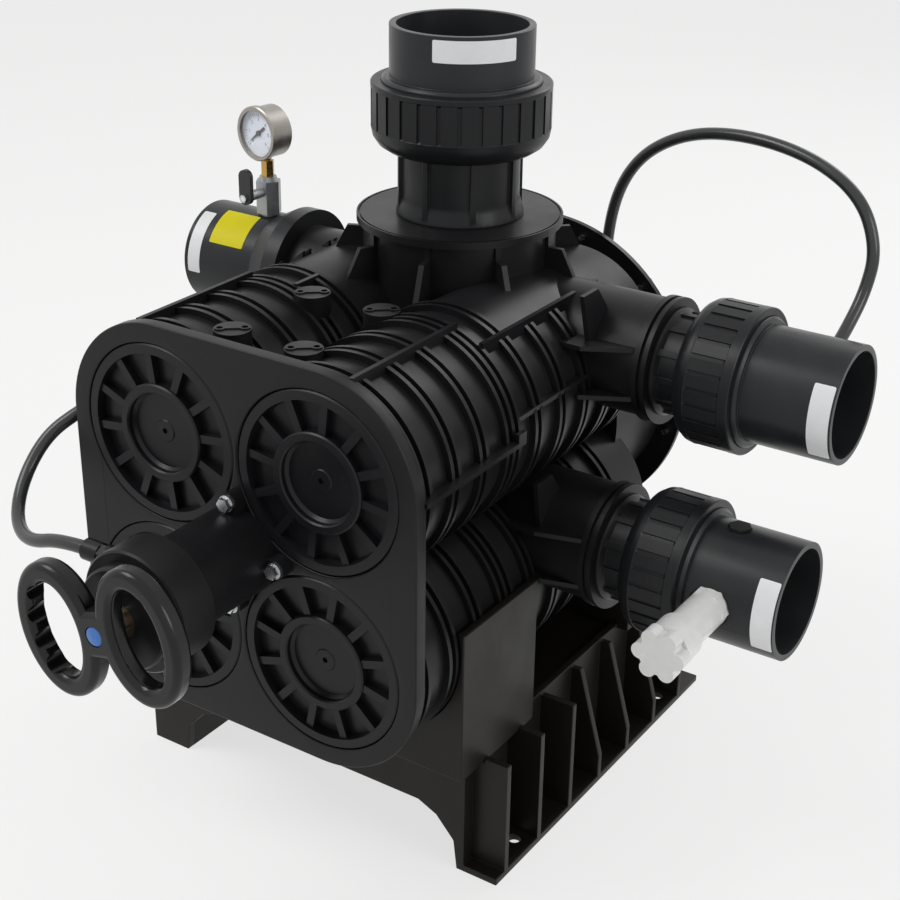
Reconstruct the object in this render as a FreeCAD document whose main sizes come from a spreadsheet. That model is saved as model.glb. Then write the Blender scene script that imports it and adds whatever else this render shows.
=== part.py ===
# Push-pull five-port valve for a large sand filter, on its stand.
# Four parallel barrels hold four spools.  A handle at the front pulls a rod that runs
# down the middle to a crosshead behind the barrels, and so moves all four spools.
# Frame: origin on the floor at the centre of the stand's bolt pattern, +Z up,
# +X to the right of someone who faces the handle, +Y away from them.  Millimetres.
import FreeCAD, Part
import math
import os
import Sketcher
from FreeCAD import Vector, Rotation, Placement

SIZES = {
    # layout
    "front_reach": 349.0,        # plate's front face to the stand's centre
    "axis_height": 381.0,        # floor to the pull rod
    "pitch_x": 195.0,            # barrel to barrel, across
    "pitch_z": 197.0,            # barrel to barrel, up
    "gap": 0.3,                  # clearance between pieces that fit together
    "rod_play": 0.05,            # radial play of a rod in its guide
    "seal_play": 0.15,
    # front plate and covers
    "plate_thick": 14.0,
    "plate_corner": 115.0,
    "body_flange": 6.0,        # the body's own plate behind the front plate
    "body_flange_inset": 3.5,
    "cover_radius": 94.0,
    "cover_thick": 9.0,
    "cover_spigot": 12.0,
    "cover_dish_radius": 82.0,
    "cover_dish_depth": 10.5,
    "cover_hub_radius": 52.0,
    "cover_recess_radius": 42.0,
    "cover_recess_depth": 9.5,
    "cover_fillet": 3.0,
    "cover_rib_count": 12.0,
    "cover_rib_width": 8.5,
    "cover_rib_drop": 2.5,
    "cover_upper_left_turn": 8.0,        # each cover is screwed home to its own turn
    "cover_upper_right_turn": -7.0,
    "cover_lower_left_turn": 6.0,
    "cover_lower_right_turn": 18.0,
    "cover_step": 1.5,
    "cover_eye": 3.0,
    "cover_eye_depth": 2.5,
    "cover_pip_radius": 12.0,
    "cover_pip_height": 1.0,
    "cover_gap": 0.8,
    "cover_spigot_wall": 8.0,
    # barrels
    "barrel_radius": 104.0,
    "bore_radius": 90.0,
    "barrel_length": 470.0,
    "bulkhead": 14.0,
    "rib_width": 5.0,
    "rib_height": 6.5,
    "rib_pitch": 48.0,
    "rib_first": 25.0,
    "rib_count": 4.0,
    "rib_split": 11.5,        # between the two ridges of a rib
    "joint_place": 186.0,        # where the body's two halves meet
    "joint_width": 5.0,
    "rib_rear_first": 223.0,
    "rib_rear_count": 5.0,
    "fin_thick": 5.0,
    "fin_reach": 6.5,
    "top_fin_shift": 32.0,
    "rear_fin_shift": 62.0,
    "rear_fin_top": 95.5,        # above a barrel's axis
    "rear_fin_end": 415.0,
    "valley_fin_shift": 27.0,
    "valley_fin_top": 108.5,
    "valley_fin_end": 225.0,
    "side_fin_shift": 5.0,
    "side_fin_reach": 13.0,
    "rear_side_fin_shift": 25.0,
    "rear_side_fin_reach": 3.5,
    "side_curl": 14.0,
    "lug_radius": 19.0,
    "lug_top": 205.0,            # above the pull rod
    "lug_pitch_x": 88.0,
    "lug_pitch_y": 126.0,
    "lug_first": 55.0,
    "lug_hole": 3.3,
    "lug_hole_pitch": 24.6,
    "lug_hole_depth": 9.0,
    "lug_hole_turn": 40.0,
    "lug_pad": 5.6,        # raised round each hole
    "lug_pad_height": 1.4,
    "core_radius": 26.0,
    "core_bore": 16.0,
    "web_reach": 30.0,
    "web_thick": 8.0,
    # rear drum
    "drum_radius": 167.0,
    "drum_wall": 9.0,
    "drum_length": 110.0,
    "flange_radius": 194.0,
    "flange_thick": 7.0,
    "dome_radius": 167.0,
    "dome_wall": 8.0,
    "rear_flange_radius": 189.0,
    "rear_flange_thick": 8.0,
    "rear_depth": 34.0,
    "rear_wall": 9.0,
    "bolt_count": 12.0,
    "bolt_shank": 3.6,
    "bolt_head": 7.0,
    "bolt_head_height": 5.5,
    "bolt_tip": 6.0,
    "bolt_circle": 180.0,
    "rear_chamfer": 8.0,
    "rear_hub": 34.0,
    "rear_hub_height": 12.0,
    "rear_rib": 6.0,
    "rear_rib_count": 8.0,
    # top port
    "port_reach": 389.0,         # plate's front face to the rear ports' axis
    "chamber_radius": 106.0,
    "chamber_wall": 9.0,
    "chamber_top": 240.0,        # above the pull rod
    "chamber_dip": 9.0,
    "window_half": 30.0,
    "window_front": 70.0,
    "window_back": 5.0,
    "gusset_thick": 6.0,
    "gusset_drop": 15.0,
    "gusset_step": 4.0,
    "gusset_foot": 68.0,
    "gusset_count": 9.0,
    "gusset_first": 5.0,
    "gusset_shelf": 20.0,
    "gusset_root": 32.5,        # above a barrel's axis
    "disc_radius": 113.5,
    "disc_thick": 8.0,
    "disc_plate": 109.5,        # raised plate inside the disc's rim
    "disc_groove": 2.0,
    "top_neck": 68.8,
    "top_bore": 61.0,
    "top_show": 71.0,            # neck in sight between the disc and the nut
    "top_nut_radius": 97.3,
    "top_nut_length": 73.0,
    "top_thread_radius": 86.0,
    "top_socket_outer": 77.5,
    "top_socket_bore": 70.0,
    "top_socket_depth": 76.0,
    "top_tail_length": 59.7,
    "top_foot_radius": 70.0,
    "top_foot_width": 20.0,
    "top_foot_lip": 3.0,
    "top_neck_ribs": 8.0,
    "top_neck_rib_depth": 4.0,
    "top_nut_rib": 17.0,
    "top_nut_round": 25.0,
    "top_nut_band": 6.0,        # plain band at the nut's mouth
    # side ports
    "side_height": 133.4,        # drain and inlet, above the pull rod
    "low_height": 45.9,          # outlet and lower port, below the pull rod
    "low_reach": 296.0,
    "boss_radius": 64.0,
    "boss_reach": 270.0,        # from the middle of the valve
    "side_neck": 55.0,
    "side_bore": 49.0,
    "side_show": 30.0,
    "side_nut_radius": 77.4,
    "side_nut_length": 67.0,
    "side_thread_radius": 69.0,
    "side_socket_outer": 61.6,
    "side_socket_bore": 55.0,
    "side_socket_depth": 62.0,
    "side_tail_length": 101.5,
    "side_foot_radius": 58.0,
    "side_foot_width": 8.0,
    "side_foot_lip": 3.0,
    "side_neck_ribs": 12.0,
    "side_neck_rib_depth": 2.5,
    "side_nut_rib": 13.0,
    "side_nut_round": 18.0,
    "side_nut_band": 11.0,
    "boss_collar": 68.0,
    "boss_collar_width": 6.0,
    "boss_collar_groove": 4.0,
    "boss_collar_lip": 5.0,
    "boss_plate": 5.0,
    "boss_plate_half": 27.0,     # plates above and below a side port's axis
    "drain_plate_reach": 86.0,
    "outlet_plate_reach": 72.0,
    "boss_plate_tip": 58.0,
    "boss_plate_bend": 205.0,        # from the middle of the valve
    "boss_plate_end": 256.0,
    "boss_wall_high": 82.0,
    "boss_wall_top": 30.0,        # length of its upper edge
    "boss_wall_low": 36.0,
    "boss_wall_front": 83.0,
    "boss_wall_foot": 48.0,
    "spigot_length": 18.0,
    "spigot_wall": 3.0,
    "union_inset": 1.7,
    "union_lip": 20.0,
    "union_flange": 11.0,
    "union_shoulder": 5.0,        # the tail's shoulder beyond the nut
    "union_shoulder_edge": 3.0,
    "seal_slot": 5.0,
    "seal_slot_depth": 4.0,
    "fixed_boss": 57.0,
    "fixed_clear": 0.6,        # from a barrel's rib to a tail's shoulder
    "fixed_collar": 75.0,
    "fixed_collar_end": 255.0,
    "fixed_taper": 27.0,
    "fixed_spigot": 52.0,
    "fixed_reach": 354.5,        # the two ports without a union
    "nut_rib_count": 28.0,
    "nut_rib_depth": 2.2,
    "nut_rib_sink": 0.5,        # a rib's face below the nut's band
    "neck_rib_width": 6.5,
    # operator
    "cylinder_radius": 47.0,
    "cylinder_wall": 7.0,
    "cylinder_length": 105.0,
    "foot_thick": 14.0,
    "ear_radius": 10.0,
    "washer_radius": 8.6,
    "washer_thick": 2.5,
    "screw_circle": 56.5,
    "screw_radius": 3.6,
    "screw_head": 7.5,
    "screw_head_height": 5.5,
    "screw_grip": 12.0,
    "collar_step": 2.0,
    "collar_overlap": 12.0,
    "guide_radius": 17.0,
    "nipple_radius": 6.0,
    "fitting_depth": 112.0,
    "fitting_rise": 21.0,        # above the pull rod
    "collar_radius": 62.0,
    "collar_length": 45.0,
    "nose_radius": 51.0,
    "nose_length": 16.0,
    "rod_radius": 11.0,
    "piston_start": 5.0,
    "piston_thick": 16.0,
    # handle
    "handle_stand_off": 190.0,   # plate's front face to the middle of the grip
    "handle_thick": 22.0,
    "ring_half_width": 49.0,
    "ring_half_height": 68.0,
    "ring_grip": 20.5,
    "ring_offset": 52.0,
    "handle_turn": 14.0,
    "badge_radius": 10.0,
    "badge_thick": 3.0,
    "cap_round": 1.2,
    "waist_half": 24.0,
    "handle_round": 7.0,
    "finger_radius": 11.0,
    "finger_angle": 30.0,
    "finger_count": 4.0,
    "finger_sink": 0.6,        # share of a scallop's radius
    "rod_stop": 8.0,
    # spools
    "spool_rod": 12.0,
    "disc_width": 16.0,
    "yoke_thick": 18.0,
    "yoke_clear": 20.0,          # from the crosshead to the rear cover, room for its nuts
    "arm_width": 36.0,
    "hub_width": 60.0,
    "nut_share": 1.65,        # a nut's corner radius to its hole's
    "rod_neck": 3.0,
    "nut_height": 10.0,
    "thread_tip": 2.0,
    "spool_first": 112.0,
    "spool_lead": 6.0,
    "spool_rear_clear": 16.0,        # from the last disc to the barrel's end
    "spool_discs": 3.0,
    # stand
    "stand_half": 200.0,
    "stand_length": 480.0,
    "stand_wall": 9.0,
    "stand_drop": 236.0,        # pull rod down to the stand's top
    "flange_half": 241.7,
    "foot_plate": 8.0,
    "saddle_half": 213.0,
    "saddle_length": 141.0,
    "saddle_seat": 7.0,        # sunk into the stand's top
    "saddle_drop": 69.0,        # pull rod down to the front saddle's top
    "saddle_rear_drop": 141.0,
    "saddle_start": 82.0,
    "saddle_clear": 6.0,
    "arch_height": 70.0,
    "arch_half": 120.0,
    "brace_count": 7.0,
    "brace_first": 20.0,
    "brace_left_first": 4.0,        # the left side's first one is flush with the front
    "brace_pitch": 68.0,
    "brace_thick": 8.0,
    "brace_flat": 41.0,
    "brace_slim": 12.0,
    "brace_toe": 28.0,
    "brace_drop": 3.0,
    "brace_wide": 3.0,        # how many of the braces are wide
    "arch_knee": 0.85,        # share of the arch's height
    "arch_round": 27.0,
    "arch_foot": 4.5,
    "bolt_hole": 7.0,
    "bolt_x": 442.0,
    "bolt_y": 340.0,
    # fittings
    "hose_radius": 7.0,
    "drain_fitting": 31.0,        # from the nut's end
    "tap_place": 33.0,        # from the nut's end
    "tap_shank": 6.0,
    "plug_shank": 6.0,
    "gauge_place": 271.0,
    "stem_radius": 6.5,
    "spot_radius": 12.0,         # flat seat or boss under a fitting
    "spot_depth": 1.0,
    "spot_height": 3.5,
    "fitting_hex": 11.0,
    "fitting_hex_height": 8.0,
    "fitting_sleeve": 11.0,
    "fitting_length": 28.0,
    "fitting_seat": 14.0,        # where the hose's end rests
    "fitting_channel": 3.5,
    "fitting_shank": 9.0,
    "elbow_reach": 17.0,
    "elbow_seat": 9.0,
    "elbow_end": 25.0,
    "rear_fitting_circle": 128.0,
    "rear_fitting_angle": 67.5,
    "barrel_fitting_depth": 91.5,
    "barrel_fitting_drop": 9.5,
    # gauge and its valve
    "cock_shank": 12.0,
    "cock_bore": 3.5,
    "cock_flange": 10.5,
    "cock_flange_height": 3.0,
    "cock_hex": 15.5,
    "cock_height": 42.0,
    "cock_end_height": 5.0,
    "cock_end_hex": 12.5,
    "ball_radius": 7.4,
    "ball_room": 7.8,
    "ball_height": 30.0,
    "ball_play": 0.1,
    "spindle_radius": 3.0,
    "gland_radius": 6.0,
    "gland_reach": 37.0,
    "lever_width": 17.0,
    "lever_length": 42.0,
    "lever_thick": 6.0,
    "lever_nut": 5.0,
    "lever_nut_height": 4.0,
    "gauge_hex": 8.0,
    "gauge_hex_height": 19.0,
    "gauge_shank": 5.0,
    "gauge_shank_depth": 8.0,
    "gauge_rise": 160.7,        # inlet's axis up to the dial's middle
    "gauge_hole_drop": 36.0,
    "gauge_radius": 32.0,
    "gauge_turn": 8.0,
    "gauge_front": 17.7,         # from the stem's axis to the ring's face
    "gauge_back": 13.7,
    "gauge_case": 30.0,
    "gauge_wall": 1.6,
    "gauge_ledge": 3.0,
    "gauge_dial_level": 10.0,
    "gauge_dial_thick": 1.0,
    "gauge_case_level": 14.8,
    "gauge_lens_thick": 1.6,
    "gauge_ring_inner": 27.0,
    "gauge_ring_depth": 7.2,
    "gauge_block": 15.0,
    "gauge_block_thick": 9.0,
    "needle_hub": 3.2,
    "needle_spindle": 1.2,
    "needle_hub_height": 1.8,
    "needle_length": 19.0,
    "needle_tail": 13.0,
    "needle_width": 3.0,
    "needle_thick": 0.6,
    "needle_turn": 218.0,
    # sampling tap and plug
    "tap_bore": 3.0,
    "tap_hex": 22.0,
    "tap_hex_height": 12.0,
    "tap_seat_depth": 3.0,        # flat under the tap on its pipe
    "tap_tube": 20.0,
    "tap_length": 96.0,
    "tap_bonnet": 24.0,
    "tap_bonnet_height": 30.0,
    "tap_stem": 4.0,
    "tap_seat": 54.0,
    "tap_spout": 7.0,
    "tap_spout_place": 48.0,
    "tap_spout_length": 34.0,
    "tap_spout_bore": 4.0,
    "knob_core": 20.0,
    "knob_thick": 16.0,
    "knob_lobe": 8.5,
    "knob_lobes": 6.0,
    "knob_circle": 19.0,
    "plug_head": 12.0,
    "plug_head_height": 4.0,
}


class Size:
    """A length with its number and the spreadsheet expression that gives it."""

    def __init__(self, value, text):
        self.value = value
        self.text = text

    def __float__(self):
        return float(self.value)

    def __add__(self, other):
        other = size(other)
        return Size(self.value + other.value, f"({self.text} + {other.text})")

    def __sub__(self, other):
        other = size(other)
        return Size(self.value - other.value, f"({self.text} - {other.text})")

    def __mul__(self, other):
        other = size(other)
        return Size(self.value * other.value, f"({self.text} * {other.text})")

    def __truediv__(self, other):
        other = size(other)
        return Size(self.value / other.value, f"({self.text} / {other.text})")

    def __neg__(self):
        return self * -1

    __radd__ = __add__

    def __rsub__(self, other):
        return size(other) - self

    __rmul__ = __mul__


def size(number):
    """Turn a plain number into a Size, and leave a Size as it is."""
    return number if isinstance(number, Size) else Size(number, repr(float(number)))


doc = FreeCAD.newDocument("valve")
sheet = doc.addObject("Spreadsheet::Sheet", "Dims")
for row, (alias, value) in enumerate(SIZES.items(), start=1):
    sheet.set(f"A{row}", alias)
    sheet.set(f"B{row}", str(value))
    sheet.setAlias(f"B{row}", alias)
doc.recompute()
D = type("Named", (), {alias: Size(value, f"Dims.{alias}") for alias, value in SIZES.items()})
NODES = {}

TURN = {
    "Z": Rotation(),
    "-Z": Rotation(Vector(1, 0, 0), 180),
    "Y": Rotation(Vector(1, 0, 0), -90),
    "-Y": Rotation(Vector(1, 0, 0), 90),
    "X": Rotation(Vector(0, 1, 0), 90),
    "-X": Rotation(Vector(0, 1, 0), -90),
}


def place(obj, at, axis="Z"):
    """Put an object's local origin at a point, with its local Z along an axis."""
    turn = TURN[axis] if isinstance(axis, str) else axis
    obj.Placement = Placement(Vector(*[float(size(v)) for v in at]), turn)
    for letter, value in zip("xyz", at):
        if isinstance(value, Size):
            obj.setExpression(f"Placement.Base.{letter}", value.text)
    return obj


def bind(obj, **lengths):
    """Bind an object's own properties to sizes."""
    for name, value in lengths.items():
        if isinstance(value, Size):
            obj.setExpression(name, value.text)
        else:
            setattr(obj, name, value)
    return obj


def cylinder(radius, height, at, axis="Z"):
    return place(bind(doc.addObject("Part::Cylinder", "Rod"), Radius=radius, Height=height), at, axis)


def torus(radius, section, at, axis="Z"):
    obj = bind(doc.addObject("Part::Torus", "Ring"), Radius1=radius, Radius2=section)
    return place(obj, at, axis)


def box(low, high):
    """A box between two corners."""
    lengths = [size(b) - size(a) for a, b in zip(low, high)]
    obj = bind(doc.addObject("Part::Box", "Block"), Length=lengths[0], Width=lengths[1], Height=lengths[2])
    return place(obj, low)


def fuse(parts):
    if len(parts) == 1:
        return parts[0]
    obj = doc.addObject("Part::MultiFuse", "Joined")
    obj.Shapes = parts
    return obj


def cut(base, tools):
    obj = doc.addObject("Part::Cut", "Trimmed")
    obj.Base = base
    obj.Tool = fuse(tools)
    return obj


def feature(shape, at=(0, 0, 0), axis="Z"):
    """A shape made by code, put in its place afterwards."""
    obj = doc.addObject("Part::Feature", "Shaped")
    obj.Shape = shape
    return place(obj, at, axis)


def node(name, obj):
    """Name a finished piece; its name is also its file's."""
    obj.Label = name
    NODES[name] = obj
    return obj


def group(name, parts):
    """Several separate solids of one kind, kept together as one node."""
    obj = doc.addObject("Part::Compound", "Set")
    obj.Links = parts
    return node(name, obj)


def origin_plane(body, role):
    return next(f for f in body.Origin.OriginFeatures if f.Role == role)


def outline(body, name, points, role="XZ_Plane"):
    """A closed polygon sketch with every corner bound to its sizes."""
    sketch = body.newObject("Sketcher::SketchObject", name)
    sketch.AttachmentSupport = (origin_plane(body, role), [""])
    sketch.MapMode = "FlatFace"
    points = [(size(a), size(b)) for a, b in points]
    corners = [Vector(float(a), float(b), 0) for a, b in points]
    count = len(corners)
    for i in range(count):
        sketch.addGeometry(Part.LineSegment(corners[i], corners[(i + 1) % count]), False)
    for i in range(count):
        sketch.addConstraint(Sketcher.Constraint("Coincident", i, 2, (i + 1) % count, 1))
    for i, (across, up) in enumerate(points):
        for kind, value in (("DistanceX", across), ("DistanceY", up)):
            number = sketch.addConstraint(Sketcher.Constraint(kind, -1, 1, i, 1, float(value)))
            sketch.setExpression(f"Constraints[{number}]", value.text)
    return sketch


def turned(name, points):
    """A body turned about its local Z from a profile of (radius, height) corners."""
    body = doc.addObject("PartDesign::Body", name)
    sketch = outline(body, f"{name}_profile", points)
    turn = body.newObject("PartDesign::Revolution", f"{name}_turn")
    turn.Profile = sketch
    turn.ReferenceAxis = (sketch, ["V_Axis"])
    turn.Angle = 360
    doc.recompute()
    return body


def around(body, name, features, count):
    """Repeat features round the body's Z axis."""
    pattern = body.newObject("PartDesign::PolarPattern", name)
    pattern.Originals = features
    pattern.Axis = (origin_plane(body, "Z_Axis"), [""])
    pattern.Angle = 360
    bind(pattern, Occurrences=size(count))
    body.Tip = pattern
    doc.recompute()
    return pattern


def station(depth):
    """The row's Y of a depth measured back from the front plate's face."""
    return depth - D.front_reach


# ---------------------------------------------------------------- places

WALL = station(D.plate_thick)                                # back of the front plate
BARREL_END = WALL + D.barrel_length
DRUM_END = BARREL_END + D.drum_length
PORT_Y = station(D.port_reach)
LOW_Y = station(D.low_reach)
SIDE_Z = D.axis_height + D.side_height
LOW_Z = D.axis_height - D.low_height
CHAMBER_Z = D.axis_height + D.chamber_top
DISC_Z = CHAMBER_Z + D.disc_thick
JOINT_Y = station(D.joint_place)
STAND_TOP = D.axis_height - D.stand_drop
SADDLE_FLOOR = STAND_TOP - D.saddle_seat
SHOULDER = D.pitch_x / 2 + D.barrel_radius + D.rib_height + D.fixed_clear    # where the glued tails start
BARREL_SPOT = D.pitch_x / 2 + D.barrel_radius + D.spot_height                # seat of the left hose's fitting
SIDE_NUT_END = D.boss_reach + D.side_show + D.side_nut_length
DRAIN_X = SIDE_NUT_END + D.drain_fitting
TAP_X = SIDE_NUT_END + D.tap_place
GAUGE_Z = SIDE_Z + D.gauge_rise
CORNERS = {
    "upper_left": (-1, 1),
    "upper_right": (1, 1),
    "lower_left": (-1, -1),
    "lower_right": (1, -1),
}


def corner(side, level):
    """Across and up to one barrel's axis."""
    return D.pitch_x / 2 * side, D.axis_height + D.pitch_z / 2 * level


# ---------------------------------------------------------------- front plate

def round_plate(radius, front, thick):
    """A plate with four round corners, one over each barrel's end."""
    half_x = D.pitch_x / 2
    half_z = D.pitch_z / 2
    middle = D.axis_height
    back = front + thick
    parts = [
        box((-half_x - radius, front, middle - half_z), (half_x + radius, back, middle + half_z)),
        box((-half_x, front, middle - half_z - radius), (half_x, back, middle + half_z + radius)),
    ]
    for side, level in CORNERS.values():
        x, z = corner(side, level)
        parts.append(cylinder(radius, thick, (x, front, z), "Y"))
    return parts


def front_plate():
    front = station(0)
    middle = D.axis_height
    parts = round_plate(D.plate_corner, front, D.plate_thick)
    holes = [cylinder(D.rod_radius + D.rod_play, D.plate_thick, (0, front, middle), "Y")]
    for side, level in CORNERS.values():
        x, z = corner(side, level)
        holes.append(cylinder(D.bore_radius, D.plate_thick, (x, front, z), "Y"))
        holes.append(cylinder(D.cover_radius + D.cover_gap, D.cover_thick + D.gap, (x, front, z), "Y"))
    for x, z in screw_places():
        holes.append(cylinder(D.screw_radius + D.gap, D.plate_thick, (x, front, z), "Y"))
    node("front_plate", cut(fuse(parts), holes))


def screw_places():
    """The four screws of the operator's foot, at its sides, top and bottom."""
    for across, up in ((1, 0), (0, 1), (-1, 0), (0, -1)):
        yield D.screw_circle * across, D.axis_height + D.screw_circle * up


def cover(name, side, level):
    """A round cover: rim, ribbed dish, hub with a recess, and a spigot that plugs its barrel."""
    x, z = corner(side, level)
    back = -D.cover_thick
    dish = -D.cover_dish_depth
    hub = D.cover_hub_radius
    floor = -D.cover_recess_depth
    recess = D.cover_recess_radius
    spigot = D.bore_radius - D.gap
    spigot_end = back - D.plate_thick - D.cover_spigot + D.cover_thick
    slot = -D.plate_thick - D.cover_spigot / 2
    body = turned(name, [
        (0, floor - D.cover_eye_depth),
        (D.cover_eye, floor - D.cover_eye_depth),
        (D.cover_eye, floor + D.cover_pip_height),
        (D.cover_pip_radius - D.cover_pip_height, floor + D.cover_pip_height),
        (D.cover_pip_radius, floor),
        (recess - D.cover_fillet, floor),
        (recess, floor + D.cover_fillet),
        (recess, -D.cover_step),
        (recess + D.cover_step, 0),
        (hub - D.cover_step, 0),
        (hub, -D.cover_step),
        (hub, dish),
        (D.cover_dish_radius, dish),
        (D.cover_dish_radius + D.cover_step, 0),
        (D.cover_radius - D.cover_step, 0),
        (D.cover_radius, -D.cover_step),
        (D.cover_radius, back),
        (spigot, back),
        (spigot, slot + D.seal_slot / 2),
        (spigot - D.seal_slot_depth, slot + D.seal_slot / 2),
        (spigot - D.seal_slot_depth, slot - D.seal_slot / 2),
        (spigot, slot - D.seal_slot / 2),
        (spigot, spigot_end),
        (spigot - D.cover_spigot_wall, spigot_end),
        (spigot - D.cover_spigot_wall, -D.plate_thick),
        (0, -D.plate_thick),
    ])
    half = D.cover_rib_width / 2
    sketch = outline(body, f"{name}_rib_outline", [
        (hub - D.cover_step, -half), (D.cover_dish_radius + D.cover_step, -half),
        (D.cover_dish_radius + D.cover_step, half), (hub - D.cover_step, half)], "XY_Plane")
    rib = body.newObject("PartDesign::Pad", f"{name}_rib")
    rib.Profile = sketch
    rib.Reversed = True
    bind(rib, Length=D.cover_dish_depth - D.cover_rib_drop + D.cover_step)
    turn = getattr(D, f"{name}_turn").value
    sketch.AttachmentOffset = Placement(Vector(), Rotation(Vector(0, 0, 1), turn))
    sketch.setExpression("AttachmentOffset.Base.z", (-D.cover_rib_drop).text)
    doc.recompute()
    around(body, f"{name}_ribs", [rib], D.cover_rib_count)
    place(body, (x, station(0), z), "-Y")
    node(name, body)


def cover_seals():
    radius = D.bore_radius - D.gap - D.seal_slot_depth / 2
    rings = []
    for side, level in CORNERS.values():
        x, z = corner(side, level)
        y = station(D.plate_thick + D.cover_spigot / 2)
        rings.append(torus(radius, D.seal_slot_depth / 2 - D.seal_play, (x, y, z), "Y"))
    group("cover_seals", rings)


# ---------------------------------------------------------------- valve body

def valve_body():
    middle = D.axis_height
    barrels = []
    bores = []
    for side, level in CORNERS.values():
        x, z = corner(side, level)
        barrels.append(cylinder(D.barrel_radius, D.barrel_length, (x, WALL, z), "Y"))
        bores.append(cylinder(D.bore_radius, D.barrel_length - D.bulkhead, (x, WALL, z), "Y"))
        bores.append(cylinder(D.spool_rod + D.rod_play, D.barrel_length, (x, WALL, z), "Y"))
        barrels += barrel_ribs(x, z, side, level)
    core = round_plate(D.plate_corner - D.body_flange_inset, WALL, D.body_flange) + [
        cylinder(D.core_radius, D.barrel_length, (0, WALL, middle), "Y"),
        cylinder(D.drum_radius, D.bulkhead, (0, BARREL_END - D.bulkhead, middle), "Y"),
        cylinder(D.drum_radius, D.drum_length, (0, BARREL_END, middle), "Y"),
        cylinder(D.flange_radius, D.flange_thick, (0, DRUM_END - D.flange_thick, middle), "Y"),
        box((-D.pitch_x / 2 + D.web_reach, WALL, middle - D.web_thick / 2),
            (D.pitch_x / 2 - D.web_reach, BARREL_END, middle + D.web_thick / 2)),
        box((-D.web_thick / 2, WALL, middle - D.pitch_z / 2 + D.web_reach),
            (D.web_thick / 2, BARREL_END, middle + D.pitch_z / 2 - D.web_reach)),
    ]
    bores += [
        cylinder(D.core_bore, D.barrel_length - D.bulkhead, (0, WALL, middle), "Y"),
        cylinder(D.rod_radius + D.rod_play, D.barrel_length, (0, WALL, middle), "Y"),
        cylinder(D.drum_radius - D.drum_wall, D.drum_length, (0, BARREL_END, middle), "Y"),
    ]
    adds, cuts = top_chamber()
    for build in (side_bosses, fixed_bosses, lugs_and_fins):
        more, less = build()
        adds += more
        cuts += less
    cuts += rear_face_cuts()
    y, z = station(D.barrel_fitting_depth), D.axis_height + D.pitch_z / 2 - D.barrel_fitting_drop
    reach = BARREL_SPOT - D.pitch_x / 2 - D.bore_radius - D.gap
    adds.append(cylinder(D.spot_radius, reach, (-BARREL_SPOT + reach, y, z), "-X"))
    deep = D.cylinder_radius
    cuts.append(cylinder(D.nipple_radius + D.gap, deep, (deep - BARREL_SPOT, y, z), "-X"))
    node("valve_body", cut(fuse(barrels + core + adds), bores + cuts))


def barrel_ribs(x, z, side, level):
    """The double ribs round one barrel, and the single one where the body's halves meet."""
    radius = D.barrel_radius + D.rib_height
    rail = D.pitch_x / 2 + D.rear_fin_shift
    low, high = (0, rail) if side > 0 else (-rail, 0)
    ribs = [cylinder(radius, D.joint_width, (x, JOINT_Y - D.joint_width / 2, z), "Y")]
    fore = [D.rib_first + D.rib_pitch * number for number in range(int(D.rib_count.value))]
    rear = [D.rib_rear_first + D.rib_pitch * number for number in range(int(D.rib_rear_count.value))]
    for depth in fore + rear:
        for half in (-1, 1):
            start = station(depth) + D.rib_split / 2 * half - D.rib_width / 2
            rib = cylinder(radius, D.rib_width, (x, start, z), "Y")
            if level > 0 and depth in rear[1:]:
                # smooth on top beside the chamber
                end = start + D.rib_width + D.gap
                rib = cut(rib, [box((low, start - D.gap, z), (high, end, z + radius * 2))])
            ribs.append(rib)
    return ribs


def top_chamber():
    """The round chamber under the top port, its disc, gussets and ways into two barrels."""
    start = D.axis_height + D.pitch_z / 2
    roof = CHAMBER_Z - D.chamber_wall
    floor = start + D.bore_radius - D.chamber_dip
    adds = [
        cylinder(D.chamber_radius, CHAMBER_Z - start, (0, PORT_Y, start)),
        cylinder(D.disc_radius, D.disc_thick, (0, PORT_Y, CHAMBER_Z)),
    ]
    cuts = [
        cylinder(D.chamber_radius - D.chamber_wall, roof - floor, (0, PORT_Y, floor)),
        cylinder(D.top_bore + D.spigot_wall + D.gap, D.chamber_wall + D.disc_thick, (0, PORT_Y, roof)),
    ]
    for side in (-1, 1):
        across = D.pitch_x / 2 * side
        cuts.append(box((across - D.window_half, PORT_Y - D.window_front, start),
                        (across + D.window_half, PORT_Y - D.window_back, floor + D.gap)))
    groove = doc.addObject("Part::Cut", "Groove")
    low = (0, PORT_Y, DISC_Z - D.disc_groove)
    groove.Base = cylinder(D.disc_plate + D.disc_groove, D.disc_groove, low)
    groove.Tool = cylinder(D.disc_plate, D.disc_groove, low)
    cuts.append(groove)
    top = CHAMBER_Z - D.gusset_drop
    foot = start + D.gusset_root
    inner = D.chamber_radius - D.chamber_wall / 2
    profile = [
        (inner, foot),
        (D.chamber_radius + D.gusset_foot, foot),
        (D.chamber_radius + D.gusset_shelf, top),
        (D.chamber_radius + D.gusset_step, top),
        (D.chamber_radius + D.gusset_step, CHAMBER_Z),
        (inner, CHAMBER_Z),
    ]
    step = 360 / D.gusset_count.value
    for number in range(int(D.gusset_count.value)):
        adds.append(fin_plate(profile, D.gusset_thick, (0, PORT_Y), D.gusset_first.value + step * number))
    return adds, cuts


def fin_plate(profile, thick, centre, angle):
    """An upright plate that points out from a vertical axis at an angle."""
    corners = [Vector(float(size(r)), -float(thick) / 2, float(size(z))) for r, z in profile]
    face = Part.Face(Part.makePolygon(corners + corners[:1]))
    shape = face.extrude(Vector(0, float(thick), 0))
    return feature(shape, (centre[0], centre[1], 0), Rotation(Vector(0, 0, 1), angle))


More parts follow.
